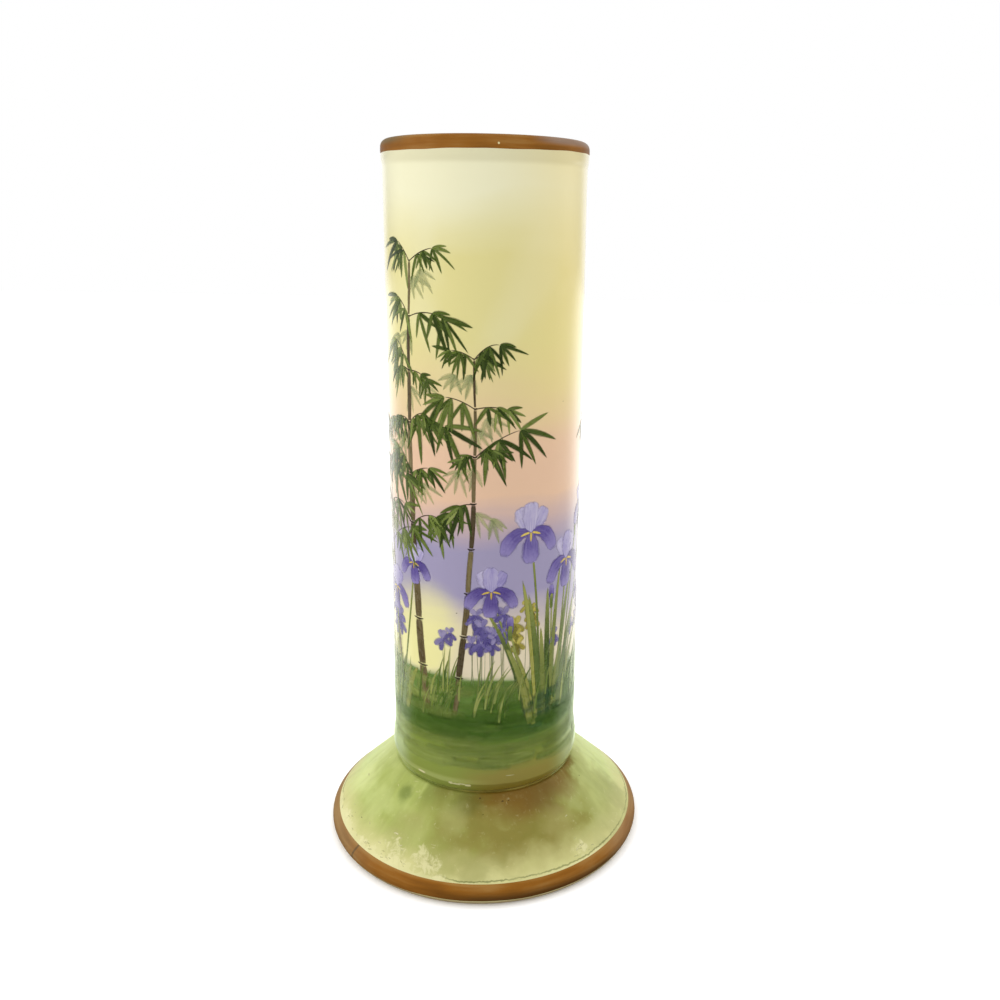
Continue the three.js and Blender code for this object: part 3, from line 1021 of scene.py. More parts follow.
def foot_material(colours, sizes):
    """Yellow-green paint brushed over the slope: browner in front, darker round the joint with painted shade
    where the foot meets the tube, thin at the sides, worn near the edge, with a cream line over the band.
    White glaze lies under the foot, with painted shade just above its ring."""
    material, graph = new_material("foot_glaze")
    between, times, off, noise = graph.between, graph.times, graph.off, graph.noise
    slope, surface = FootSlope(sizes), foot_surface(sizes)
    place = graph.place()
    radius, level, round_to = place["Radius"], place["Height"], place["Angle"]
    mottle = noise(150.0, 3.0)
    fine = noise(900.0, 3.0, 0.6)
    wander = graph.stirred(radius, mottle, 5 * MM)
    angle = graph.stirred(round_to, mottle, 1.2)

    front = between(off(angle, 0.26), 1.1, 0.15)
    # Painted shade round the joint where the foot meets the tube: olive, darker in front, and reddish to the
    # right of the front
    pooled = between(wander, sizes.collar_radius + 4.6 * MM, sizes.collar_radius + 0.8 * MM)
    pooled = times(pooled, between(off(angle, 0.2), 0.88, 1.06, 0.95, 0.1))
    joint_shade_tint = graph.mix(front, colours.foot_joint_shade, colours.foot_front_joint_shade)
    joint_shade_tint = graph.mix(between(off(angle, 0.55), 0.85, 0.4), joint_shade_tint, colours.foot_rust)
    bright_edge = times(between(off(angle, -0.8), 0.6, 0.25, 0.12, 0.45), between(wander, 30.5 * MM, 33 * MM))
    at_right = times(between(angle, 0.75, 1.05, 0.0, 0.5), between(angle, 1.65, 1.4))
    marks = graph.group("slope", Direction=place["Direction"], Radius=wander, Level=front)
    light_marks = times(between(marks, 0.5, 0.72), between(front, 0.0, 1.0, 0.22, 0.12))
    wash = graph.lay(
        colours.foot_green,
        (front, colours.foot_olive),
        (between(off(angle, 0.0), 1.0, 1.7), colours.foot_far),
        (between(wander, 27 * MM, 32.5 * MM), colours.foot_edge),
        (bright_edge, colours.cream),
        (at_right, colours.foot_right),
        (pooled, joint_shade_tint),
        (light_marks, colours.foot_streaks),
        (between(marks, 0.5, 0.3, 0.0, 0.17), colours.foot_shadows),
        (between(fine, 0.6, 0.72, 0.0, 0.12), colours.foot_flecks),
    )
    for reach, along, size, ragged, cover, shade in FOOT_PATCHES:
        centre = on_surface(surface, reach, along)
        patch = graph.effect("spot", Centre=centre, Radius=size, Ragged=ragged)
        wash = graph.mix(times(patch, cover), wash, paint(*shade))

    worn = 0.0
    for reach, along, size in WORN_PLACES:
        patch = graph.effect("spot", Centre=on_surface(surface, reach, along), Radius=size, Ragged=1.2)
        worn = graph.most(worn, patch)
    flaky = noise(640.0, 5.0, 0.68, 0.6)
    worn = between(graph.scaled(worn, 0.24, flaky), 0.6, 0.84)

    left_front = between(off(round_to, -0.85), 0.75, 0.45)
    cream_width = between(noise(38.0, 1.0), 0.42, 0.6, 0.22 * MM, 0.4 * MM)
    frayed = between(noise(260.0, 4.0, 0.65), 0.35, 0.65, 0.0, 1.3 * MM)
    cream_width = graph.scaled(left_front, frayed, cream_width)
    band_edge = sizes.foot_radius - sizes.foot_band_reach + 0.25 * MM
    from_band = graph.minus(graph.scaled(fine, 0.5 * MM, radius), band_edge)
    from_cream = graph.plus(from_band, cream_width)
    cream_cover = between(noise(60.0, 2.0), 0.4, 0.62, 0.4, 0.85)
    cream_cover = times(cream_cover, between(off(round_to, 0.2), 0.16, 0.24, 0.15, 0.8))
    cream_cover = times(cream_cover, between(round_to, 0.85, 0.97, 1.0, 0.1))
    cream_line = times(between(from_cream, 0.0, 0.12 * MM), cream_cover)
    line_cover = between(noise(110.0, 2.0), 0.42, 0.6, 0.1, 0.6)
    line_cover = times(line_cover, graph.minus(1.0, left_front))
    line_at_right = between(off(round_to, 0.75), 0.45, 0.3, 0.0, 0.55)
    line_cover = graph.most(line_cover, line_at_right)
    dark_line = times(between(off(from_cream, -0.08 * MM), 0.14 * MM, 0.05 * MM), line_cover)
    specks = graph.effect("specks", Scale=520.0, Size=0.13, Share=0.05)
    specks = times(specks, between(noise(90.0, 1.0), 0.52, 0.6))
    wash = graph.lay(
        wash,
        (times(worn, 0.72), colours.cream),
        (dark_line, colours.dark_line),
        (cream_line, colours.cream),
        (specks, colours.speck),
    )

    under_slope = slope.at_radius(0.0, 1.2 * MM)[1]
    under_slope = graph.scaled(radius, -math.tan(slope.angle), under_slope)
    on_top = between(graph.minus(level, under_slope), -0.2 * MM, 0.2 * MM)
    on_table = between(level, 0.25 * MM, 0.05 * MM)
    # Painted shade on the glaze just above the ring under the foot
    ring_shaded = times(between(radius, 31 * MM, 32 * MM), between(level, 2 * MM, 1.6 * MM))
    base = graph.lay(
        colours.white_glaze, (ring_shaded, colours.foot_ring_shade), (on_table, colours.bare_clay), (on_top, wash)
    )
    relief = graph.effect("relief", Brush=graph.plus(marks, worn))
    roughness = graph.most(between(fine, 0.3, 0.7, 0.34, 0.46), times(on_table, 0.75))
    finish_material(graph, base, roughness, relief, BRUSHED_DEPTH, gloss=SATIN)
    return material


# The pale spot in the rim band: arc, and height over the band's lower edge, in millimetres
RIM_PALE_SPOT = (3.3, 0.95)


def band_material(name, colours, thin, left_reflection_tone, gloss, painted_reflections, seam_angle=None, chip=None):
    """Brown enamel pulled round with a brush: long streaks, paler between the two heights of thin, where it
    runs out and where a painted highlight lies on its upper side, on the foot's edge darker low down as
    painted shade where it turns under, and, where the brush came round to its start, the dark line of the
    overlap. left_reflection_tone is added to the tone at the left as a painted reflection, hazes say where
    painted reflections lie on it, by the heights and the angles between which each comes in, its cover and
    its colour, and chip is the centre of a pale spot."""
    material, graph = new_material(name)
    between, times = graph.between, graph.times
    place = graph.place()
    level, round_to = place["Height"], place["Angle"]
    streaks = graph.effect("brush", Round=70.0, Along=900.0, Detail=5.0, Distortion=0.3)
    tone = graph.scaled(streaks, 0.5, 0.05)
    tone = graph.scaled(graph.noise(95.0, 2.0), 0.4, tone)
    # Paler where the enamel runs out, with a painted highlight on the band's upper side
    tone = graph.plus(tone, between(level, *thin, 0.0, 0.12))
    # Painted reflection at the left: darker on the lip, a little lighter on the foot's edge
    tone = graph.plus(tone, between(round_to, -0.5, -1.0, 0.0, left_reflection_tone))
    browns = ((0.36, colours.band_dark), (0.52, colours.band_brown), (0.72, colours.band_light))
    # Painted shade low on the foot's edge, where it turns under
    under = times(between(graph.off(round_to, 0.45), 0.4, 0.8, 0.8, 0.2), between(level, 3.4 * MM, 1.6 * MM))
    base = graph.mix(under, graph.ramp(tone, browns), colours.band_underside_shade)
    if seam_angle is not None:
        seam = graph.minus(round_to, seam_angle)
        seam = graph.off(graph.scaled(level, -6.0, seam), 0.0)
        base = graph.mix(between(seam, 0.004, 0.012, 0.75, 0.0), base, colours.band_seam)
    # Painted reflections, broken by the streaks of the brush
    for low, high, starts, full, cover, shade in painted_reflections:
        reflected = times(between(level, low, high), between(streaks, 0.3, 0.7, 0.7, 1.0))
        base = graph.mix(times(reflected, between(round_to, starts, full, 0.0, cover)), base, shade)
    if chip is not None:
        base = graph.mix(graph.effect("spot", Centre=chip, Radius=0.27 * MM, Ragged=1.6), base, colours.cream)
    relief = graph.effect("relief", Brush=times(streaks, 2.0))
    finish_material(graph, base, between(streaks, 0.3, 0.7, 0.42, 0.55), relief, BRUSHED_DEPTH, gloss=gloss)
    return material


def slip_material(colours):
    """Slip in the joint, coloured by the paint that ran into it, greener at the left, and paler at the sides
    as painted light where the joint turns away from the front
    """
    material, graph = new_material("slip_line")
    between = graph.between
    stain = graph.noise(160.0, 3.0)
    turned = graph.stirred(graph.place()["Angle"], stain, 0.8)
    base = graph.lay(
        colours.slip,
        (between(stain, 0.3, 0.7), colours.joint_shade),
        (between(turned, 0.1, -0.6), colours.joint_green),
        (between(graph.off(turned, 0.0), 0.8, 1.15, 0.0, 0.85), colours.side_sheen_green),
    )
    finish_material(graph, base, between(stain, 0.3, 0.7, 0.4, 0.55), stain, BRUSHED_DEPTH, gloss=SATIN)
    return material


def stroke_material(name, tints, tip=None, veins=0.0, softness=0.3, cover=1.0, gloss=GLAZED):
    """Paint laid in strokes: hair marks of the brush along each stroke, and edges that thin out. tints is a
    ramp over each stroke's own tint, and tip the colour that its end runs to."""
    material, graph = new_material(name)
    between, times = graph.between, graph.times
    spot = graph.apart(graph.add("ShaderNodeUVMap", uv_map="UVMap"))
    along, across = spot["X"], spot["Y"]
    tint, chance = (
        graph.add("ShaderNodeAttribute", output=2, attribute_name=name_here, attribute_type="GEOMETRY")
        for name_here in ("tint", "chance")
    )
    hairs_at = {0: times(along, 1.6), 1: times(across, 7.0), 2: times(chance, 40.0)}
    hairs = graph.noise(1.0, 3.0, 0.6, 0.2, at=graph.add("ShaderNodeCombineXYZ", hairs_at))
    mottle = graph.noise(700.0, 2.0)
    base = graph.ramp(graph.stirred(graph.stirred(tint, hairs, 0.75), mottle, 0.25), tints)
    if tip is not None:
        base = graph.mix(between(along, 0.45, 1.0, 0.0, 0.8), base, paint(*tip))
    if veins:
        wave = graph.math("SINE", times(across, 44.0))
        lines = times(between(wave, 0.2, 1.0), between(along, 0.75, 0.1))
        base = graph.mix(times(lines, veins), base, shade_of(tints[0][1]))
    from_middle = graph.off(graph.scaled(across, 2.0, -1.0), 0.0)
    from_edge = graph.stirred(graph.minus(1.0, from_middle), hairs, softness)
    from_end = graph.scaled(hairs, 0.1, graph.minus(1.0, along))
    alpha = times(between(from_edge, 0.0, softness, 0.0, cover), between(from_end, 0.03, 0.14))
    finish_material(graph, base, between(mottle, 0.3, 0.7, 0.24, 0.34), hairs, STROKE_DEPTH, alpha, gloss)
    return material


# The painted design


# The design comes twice round the tube, this many millimetres apart
REPEAT = 61.8


def bamboo(canes, knots, twigs, leaves, far_leaves):
    """Clumps of bamboo: canes in lengths between their knots, and twigs that carry sprays of leaves"""
    uniform = leaves.random.uniform
    for at in (-12.0, -12.0 + REPEAT):
        for foot, top, bow, half_width, lengths, bare in (
            ((at + 0.5, 33.5), (at - 2.5, 123.0), -1.8, 1.15, 9, 4),
            ((at + 6.5, 33.0), (at + 11.0, 106.0), 1.6, 0.8, 8, 5),
            ((at - 6.5, 34.5), (at - 12.5, 92.0), -1.2, 0.65, 7, 4),
        ):
            along = cane_line(foot, top, bow)
            bamboo_cane(canes, knots, along, half_width, lengths)
            for number in range(bare, lengths + 1):
                joint = along(number / lengths - 0.004)
                side = (-1) ** number
                size = uniform(0.8, 1.05) * (1.0 - 0.2 * (number == lengths))
                leaf_spray(twigs, leaves, joint, side, size)
                if number > bare:
                    leaf_spray(twigs, leaves, joint, -side, size * uniform(0.45, 0.8))
                if number > bare and leaves.random.random() < 0.6:
                    leaf_spray(twigs, leaves, joint, side, size * uniform(0.5, 0.7))
                far_spray(far_leaves, joint + (side * 2.0, -3.0), -side, 0.8)


def cane_line(foot, top, bow):
    """The line of a cane: from foot to top, bowed sideways in a parabola that is highest half-way"""
    foot, top = np.array(foot), np.array(top)
    return lambda share: foot + (top - foot) * share + np.array([4 * bow * share * (1 - share), 0])


def bamboo_cane(canes, knots, along, half_width, lengths):
    """One cane, in lengths with a knot over each, that thins to a third at the top"""
    for number in range(lengths):
        start, end = along(number / lengths), along((number + 1) / lengths) - np.array([0, 0.14])
        thin = 1 - 0.68 * (number / (lengths - 1)) ** 1.4
        middle = (start + end) / 2 + np.array([0.15 * (-1) ** number, 0])
        canes.add(start, middle, end, half_width * thin, canes.random.uniform(0.25, 0.7), 0.004)
        reach = half_width * thin * 1.2
        knots.add(end + (-reach, 0.15), end + (0, -0.25), end + (reach, 0.15), 0.1 + 0.14 * thin, 0.2, 0.02)


def leaf_spray(twigs, leaves, foot, side, size):
    """A twig that arches out to one side of a cane, with fans of hanging leaves along it"""
    random = leaves.random
    uniform = random.uniform
    reach, rise = uniform(4.5, 10.0) * size, uniform(-2.5, 6.5) * size
    tip = foot + np.array([side * reach, rise])
    bend = foot + np.array([side * reach * 0.5, rise * 0.5 + uniform(1.0, 3.0) * size])
    twigs.add(foot, bend, tip, 0.13, 0.4, 0.012)
    shade = uniform(0.28, 0.55)
    for share, count in ((uniform(0.2, 0.4), 3), (uniform(0.5, 0.75), 5), (1.0, 5)):
        joint = foot * (1 - share) ** 2 + 2 * bend * share * (1 - share) + tip * share**2
        middle = -90 + side * (4 + 38 * share) + uniform(-16, 16)
        half_span = uniform(30, 62)
        for fan in np.linspace(-1, 1, count):
            direction = middle + fan * half_span + uniform(-10, 10)
            length_here = uniform(5.2, 10.0) * size * (1 - 0.22 * abs(fan))
            tint = np.clip(random.normal(shade, 0.22), 0.03, 0.98)
            layer = 0.014 + 0.008 * random.integers(0, 5)
            width = uniform(0.42, 0.72) * math.sqrt(size)
            sag = uniform(0.05, 0.3) * length_here
            leaves.arched(joint, direction, length_here, sag, width, tint, layer)


def far_spray(far_leaves, foot, side, size):
    """A pale spray of the canes behind, seen through the mist"""
    random = far_leaves.random
    uniform = random.uniform
    for share in (0.4, 0.9):
        joint = foot + np.array([side * uniform(5, 8) * share, uniform(-1, 2.5)]) * size
        for fan in np.linspace(-1, 1, 4):
            direction = -90 + side * 26 + fan * uniform(30, 50)
            reach = uniform(4.0, 6.5) * size
            far_leaves.arched(joint, direction, reach, 0.1 * reach, uniform(0.5, 0.75), random.random())


def irises(blades, stems, standards, falls, beards):
    """Clumps of iris: sword blades, and flowers with three upright petals, three falling ones and yellow
    beards. Each clump has a smaller one beside it."""
    for at in (14.0, 14.0 + REPEAT):
        beside = at - 36.0
        blade_fan(blades, at, 12, 15.0, (21.0, 39.0))
        blade_fan(blades, beside, 6, 8.0, (14.0, 25.0))
        for root, arc_at, height_at, size in (
            (at, at - 3.8, 72.0, 0.95),
            (at, at + 6.2, 64.5, 0.9),
            (at, at - 11.8, 60.5, 0.8),
            (at, at + 15.0, 74.0, 0.8),
            (beside, at - 35.5, 57.5, 0.75),
            (beside, at - 28.6, 64.5, 0.65),
        ):
            foot = root + 0.35 * (arc_at - root)
            bend = ((foot + arc_at) / 2 + 0.8, height_at - 14)
            stems.add((foot, 34.0), bend, (arc_at, height_at - 1), 0.3, 0.5, 0.008)
            iris_flower(standards, falls, beards, arc_at, height_at, size)
        for arc_at, height_at in ((at + 1.6, 57.0), (at + 10.5, 70.0), (at - 8.0, 52.0)):
            foot = at + 0.4 * (arc_at - at)
            bend = ((foot + arc_at) / 2 + 0.5, height_at - 12)
            stems.add((foot, 34.0), bend, (arc_at, height_at), 0.26, 0.6, 0.008)
            iris_bud(stems, falls, arc_at, height_at)


def iris_bud(stems, falls, arc_at, height_at):
    """A furled flower in its green sheath"""
    foot = np.array([arc_at, height_at - 1.0])
    for lean in (-0.5, 0.45):
        falls.add(foot, foot + (lean, 1.8), foot + (lean * 0.4, 4.4), 0.5, 0.2 + 0.3 * (lean > 0), 0.012)
    stems.add(foot - (0, 0.8), foot + (-0.2, 0.8), foot + (0.1, 2.4), 0.55, 0.45, 0.022)


def blade_fan(blades, arc_at, count, spread, reaches):
    """Sword blades that rise from one clump and lean outwards, the outer ones shorter and more bent"""
    uniform = blades.random.uniform
    for share in np.linspace(-1, 1, count):
        reach = uniform(*reaches) * (1 - 0.25 * abs(share))
        lean = share * spread * 0.55 + uniform(-1.2, 1.2)
        foot = (arc_at + share * 4.2, 31.0 + uniform(-1, 1))
        bend = (foot[0] + lean * 0.3, foot[1] + reach * 0.6)
        tip = (foot[0] + lean, foot[1] + reach * uniform(0.9, 1.0))
        layer = 0.006 + 0.006 * blades.random.integers(0, 4)
        blades.add(foot, bend, tip, uniform(0.75, 1.05), uniform(0.1, 0.9), layer)


def iris_flower(standards, falls, beards, arc_at, height_at, size):
    """One flower about its throat"""
    uniform = falls.random.uniform
    throat = np.array([arc_at, height_at])
    for direction, reach, width, layer in (
        (122, 6.4, 2.0, 0.012),
        (58, 6.4, 2.0, 0.018),
        (90, 6.8, 2.3, 0.024),
    ):
        direction = direction + uniform(-6, 6)
        standards.arched(throat, direction, reach * size, 0.0, width * size, uniform(0.35, 0.8), layer)
    for side in (-1, 1):
        bend = throat + np.array([side * 4.3, 1.4]) * size
        end = throat + np.array([side * 5.9, -4.6]) * size
        falls.add(throat, bend, end, 1.9 * size, uniform(0.1, 0.5), 0.026)
    end = throat + np.array([uniform(-0.8, 0.8), -6.6]) * size
    falls.add(throat + (0, 0.4 * size), (throat + end) / 2, end, 2.3 * size, uniform(0.2, 0.6), 0.034)
    for side in (-1, 0, 1):
        tip = throat + np.array([side * 2.4, -0.4 - 1.4 * (side == 0)]) * size
        bend = (throat + tip) / 2 + (0, 0.3)
        beards.add(throat + (side * 0.3, 0.2), bend, tip, 0.32 * size, uniform(0.2, 0.9), 0.05)


def far_irises(mist, stems, gold):
    """Drifts of irises far off in the mist, lilac ones and a few yellow ones, each flower a few soft dabs"""
    dabs = ((62, 2.0, 0.75), (118, 2.0, 0.85), (-35, 2.1, 0.3), (215, 2.1, 0.35), (-90, 2.3, 0.1))
    for flowers, middle, spread, count in (
        (mist, -25, 5, 10),
        (mist, 1, 7, 22),
        (gold, 9.5, 2.8, 7),
        (mist, 28, 5, 12),
        (gold, -30, 2.5, 5),
        (mist, 46, 6, 14),
        (gold, 39, 2.5, 5),
    ):
        random = flowers.random
        for _ in range(count):
            away = random.normal(0, 0.55)
            at = np.array([middle + spread * away, 49.0 + 9.5 * random.random() * math.exp(-(away**2))])
            size = random.uniform(0.8, 1.2)
            for direction, reach, tint in dabs:
                direction = direction + random.uniform(-14, 14)
                shade = np.clip(tint + random.uniform(-0.2, 0.2), 0, 1)
                layer = 0.004 * random.integers(1, 4)
                flowers.arched(at, direction, reach * size, 0.3, 0.8 * size, shade, layer)
            foot = (at[0] + random.uniform(-0.8, 0.8), 40.5 + random.uniform(-1.0, 0.3))
            stems.add(foot, (at[0], (foot[1] + at[1]) / 2), at, random.uniform(0.08, 0.14), random.random())


def grasses(blades):
    """Tufts of fine grass that lean the same way, all round the foot of the design"""
    random = blades.random
    uniform = random.uniform
    for tuft in np.arange(-58, 66, 7.6):
        middle = tuft + uniform(-2, 2)
        for _ in range(random.integers(9, 15)):
            foot = (middle + random.normal(0, 2.4), 36.5 + uniform(-4.5, 2))
            reach = uniform(4.5, 10.5)
            lean = uniform(0.5, 4.5)
            tip = (foot[0] + lean, foot[1] + reach)
            bend = (foot[0] + lean * 0.1, foot[1] + reach * 0.6)
            layer = 0.012 * random.integers(0, 5)
            blades.add(foot, bend, tip, uniform(0.2, 0.44), uniform(0.05, 0.95), layer)


def ground(strokes):
    """Broad level strokes of green that lap over one another round the foot of the tube, darkest in the
    middle and olive below. A last few lie over the feet of the canes and the blades."""
    uniform = strokes.random.uniform
    rows = [(height, 0.0) for height in np.arange(23.0, 40.0, 1.4)]
    rows += [(30.6, 0.05), (32.0, 0.05), (33.4, 0.05)]
    for row, (height, lift) in enumerate(rows):
        shade = np.interp(height, (23, 27.4, 29.6, 34, 37.5, 40), (0.8, 0.66, 0.24, 0.2, 0.42, 0.5))
        for place, arc_at in enumerate(np.arange(-62, 60, 15.5) + uniform(-7, 7)):
            start = np.array([arc_at + uniform(-4, 4), height + uniform(-0.5, 0.5)])
            end = start + (uniform(12, 22), uniform(-1.2, 1.2))
            bend = (start + end) / 2 + (0, uniform(-0.8, 0.8))
            fresher = 0.6 * np.interp(bend[0], (-16, -2), (1, 0))
            fresher = fresher * np.interp(bend[1], (27.5, 29, 31, 33.5, 37), (1, 0.3, 0.3, 1, 1.4))
            tint = np.clip(shade + fresher + uniform(-0.12, 0.14), 0.08, 1.1)
            layer = lift + 0.008 * ((2 * row + place) % 4)
            strokes.add(start, bend, end, uniform(1.3, 2.2), tint, layer)
    for arc_at, height in ((10, 35.4), (9.4, 34.0), (10.5, 32.6), (11.0, 36.6), (11.5, 31.4)):
        start = np.array([arc_at + uniform(-1, 1), height])
        strokes.add(start, start + (3.4, 0.5), start + (7.4, 0.6), 1.2, -0.12, 0.04)


def pale_marks_on_bead(strokes):
    """Pale cream marks along the lower part of the bead"""
    random = strokes.random
    for start, end, height, half_width in (
        (-6.0, -2.4, 18.1, 0.42),
        (-12.9, -12.4, 18.7, 0.36),
        (5.9, 6.4, 20.2, 0.12),
    ):
        for share in np.linspace(0, 1, max(2, int((end - start) / 0.9))):
            at = np.array([start + (end - start) * share, height + random.uniform(-0.1, 0.1)])
            reach = np.array([random.uniform(0.9, 2.0), random.uniform(-0.1, 0.1)])
            width = half_width * random.uniform(0.4, 1.2)
            strokes.add(at - reach / 2, at + (0, 0.08), at + reach / 2, width, random.random(), 0.012)


def chips_on_foot(strokes):
    """Flakes of pale glaze near the foot's edge, thickest at the left front, and a few single marks further
    up, one of them a painted glint
    """
    random = strokes.random
    for middle, spread, count in (
        (-12.0, 4.0, 16),
        (-21.0, 4.0, 10),
        (14.5, 1.6, 7),
        (46.0, 8.0, 8),
        (-45.0, 9.0, 8),
    ):
        for _ in range(count):
            at = np.array([middle + random.normal(0, spread * 0.7), 0.6 + random.exponential(1.6)])
            turn = math.radians(random.uniform(-50, 50))
            size = random.uniform(0.3, 0.8)
            ahead = np.array([math.cos(turn), math.sin(turn)]) * size / 2
            bend = at + (0, random.uniform(-0.2, 0.2))
            strokes.add(at - ahead, bend, at + ahead, size * 0.24, random.random(), 0.024)
    for arc_at, along, size in (
        (-12.7, 5.9, 0.9),
        # A painted glint
        (14.7, 2.6, 0.8),
        (15.0, 9.2, 0.5),
        (-16.5, 1.0, 0.8),
        (-27.5, 9.0, 0.7),
    ):
        at = np.array([arc_at, along])
        strokes.add(at - (size / 2, 0), at + (0, 0.2), at + (size / 2, 0.1), size * 0.3, 0.8, 0.026)


# The larger specks: arc, distance up the foot's slope or height on the tube, and half width, in millimetres
FOOT_SPECKS = ((4.4, 15.9, 0.22), (5.6, 15.9, 0.13), (0.7, 13.4, 0.1), (-20.2, 4.0, 0.14))
TUBE_SPECKS = ((-4.6, 56.0, 0.16), (9.0, 33.0, 0.12), (18.0, 97.0, 0.1), (-22.0, 44.0, 0.12))


def dark_specks(strokes, places):
    """Specks of iron that came up through the glaze"""
    for arc_at, along, size in places:
        at = np.array([arc_at, along])
        strokes.add(at - (size, 0.05), at + (0, 0.1), at + (size, 0), size * 0.6, 0.1, 0.03)


# Paints of the strokes: a ramp over each stroke's own tint, and how far they soften and cover
PAINTS = {
    "ground_paint": dict(
        tints=(
            (0.0, (60, 96, 62)),
            (0.08, (68, 104, 24)),
            (0.3, (84, 120, 34)),
            (0.55, (112, 136, 54)),
            (0.8, (130, 146, 64)),
            (1.1, (158, 174, 84)),
        ),
        softness=1.0,
        cover=0.5,
    ),
    "mist_stem_paint": dict(tints=((0.1, (112, 128, 84)), (0.9, (146, 152, 104))), softness=0.7, cover=0.6),
    "mist_paint": dict(
        tints=((0.05, (86, 74, 142)), (0.4, (114, 104, 164)), (0.9, (160, 150, 190))), softness=0.7, cover=0.8
    ),
    "gold_paint": dict(
        tints=((0.05, (120, 116, 40)), (0.5, (168, 156, 58)), (0.9, (206, 192, 92))), softness=0.7, cover=0.85
    ),
    "grass_paint": dict(
        tints=((0.1, (66, 94, 28)), (0.5, (100, 122, 46)), (0.9, (148, 156, 80))),
        tip=(140, 148, 78),
        softness=0.5,
        cover=0.95,
    ),
    "far_leaf_paint": dict(tints=((0.1, (150, 162, 106)), (0.9, (186, 188, 130))), softness=0.8, cover=0.55),
    "cane_paint": dict(
        tints=((0.1, (58, 46, 32)), (0.45, (88, 74, 46)), (0.8, (130, 116, 76)), (1.0, (160, 148, 104))),
        softness=0.35,
    ),
    "knot_paint": dict(tints=((0.0, (44, 34, 24)), (1.0, (92, 78, 54))), softness=0.5),
    "leaf_paint": dict(
        tints=(
            (0.05, (44, 60, 10)),
            (0.3, (66, 84, 20)),
            (0.55, (90, 106, 38)),
            (0.8, (120, 134, 60)),
            (1.0, (144, 154, 82)),
        ),
        softness=0.6,
    ),
    "blade_paint": dict(
        tints=((0.1, (64, 84, 34)), (0.4, (96, 114, 50)), (0.7, (128, 134, 62)), (1.0, (168, 164, 76))),
        tip=(150, 154, 78),
        softness=0.4,
    ),
    "standard_paint": dict(
        tints=((0.1, (128, 116, 176)), (0.45, (160, 150, 196)), (0.85, (196, 188, 212))),
        veins=0.5,
        softness=0.35,
        cover=0.96,
    ),
    "fall_paint": dict(
        tints=((0.05, (70, 52, 124)), (0.4, (98, 82, 152)), (0.75, (132, 120, 178)), (1.0, (170, 160, 204))),
        tip=(150, 138, 190),
        veins=0.6,
        softness=0.35,
        cover=0.97,
    ),
    "beard_paint": dict(tints=((0.1, (176, 142, 40)), (0.9, (226, 200, 96))), softness=0.5),
}


# Operators


def carried(piece, node=None):
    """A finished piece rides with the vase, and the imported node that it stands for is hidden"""
    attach(piece, BODY)
    if node:
        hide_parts(node)


def brushed(surface, slot, *rows):
    """Strokes as finished pieces, from rows of name, strokes, a material or the name of a paint, rise, fall
    and more on their shape"""
    for name, strokes, material, *shape in rows:
        if isinstance(material, str):
            material = bpy.data.materials.get(material) or stroke_material(material, **PAINTS[material])
        carried(painted_piece(name, strokes, surface, material, *shape))


def on_tube(sizes, *rows):
    brushed(tube_surface(sizes), "tube_glaze", *rows)


def on_foot(sizes, *rows):
    brushed(foot_surface(sizes), "foot_glaze", *rows)


class Step:
    """What the steps that build pieces share: each builds from the sizes and colours of the scene"""

    def execute(self, context):
        self.build(context.scene.vase_sizes, context.scene.vase_colours)
        return {"FINISHED"}


class BUDVASE_OT_tube(Step, bpy.types.Operator):
    """Turn the tube with its washes of paint"""

    bl_idname = "budvase.tube"
    bl_label = "Tube"

    def build(self, sizes, colours):
        tube = turned_piece("porcelain_tube", sizes, tube_outline(sizes), tube_material(colours, sizes))
        carried(tube, "vase_tube")


class BUDVASE_OT_foot(Step, bpy.types.Operator):
    """Turn the hollow foot and the slip that joins it to the tube"""

    bl_idname = "budvase.foot"
    bl_label = "Foot and Joint"

    def build(self, sizes, colours):
        outline = foot_outline(sizes, FootSlope(sizes))
        foot = turned_piece("porcelain_foot", sizes, outline, foot_material(colours, sizes))
        carried(foot, "saucer_foot")
        slip = turned_piece("slip_line", sizes, slip_outline(sizes), slip_material(colours))
        carried(slip, "slip_joint")


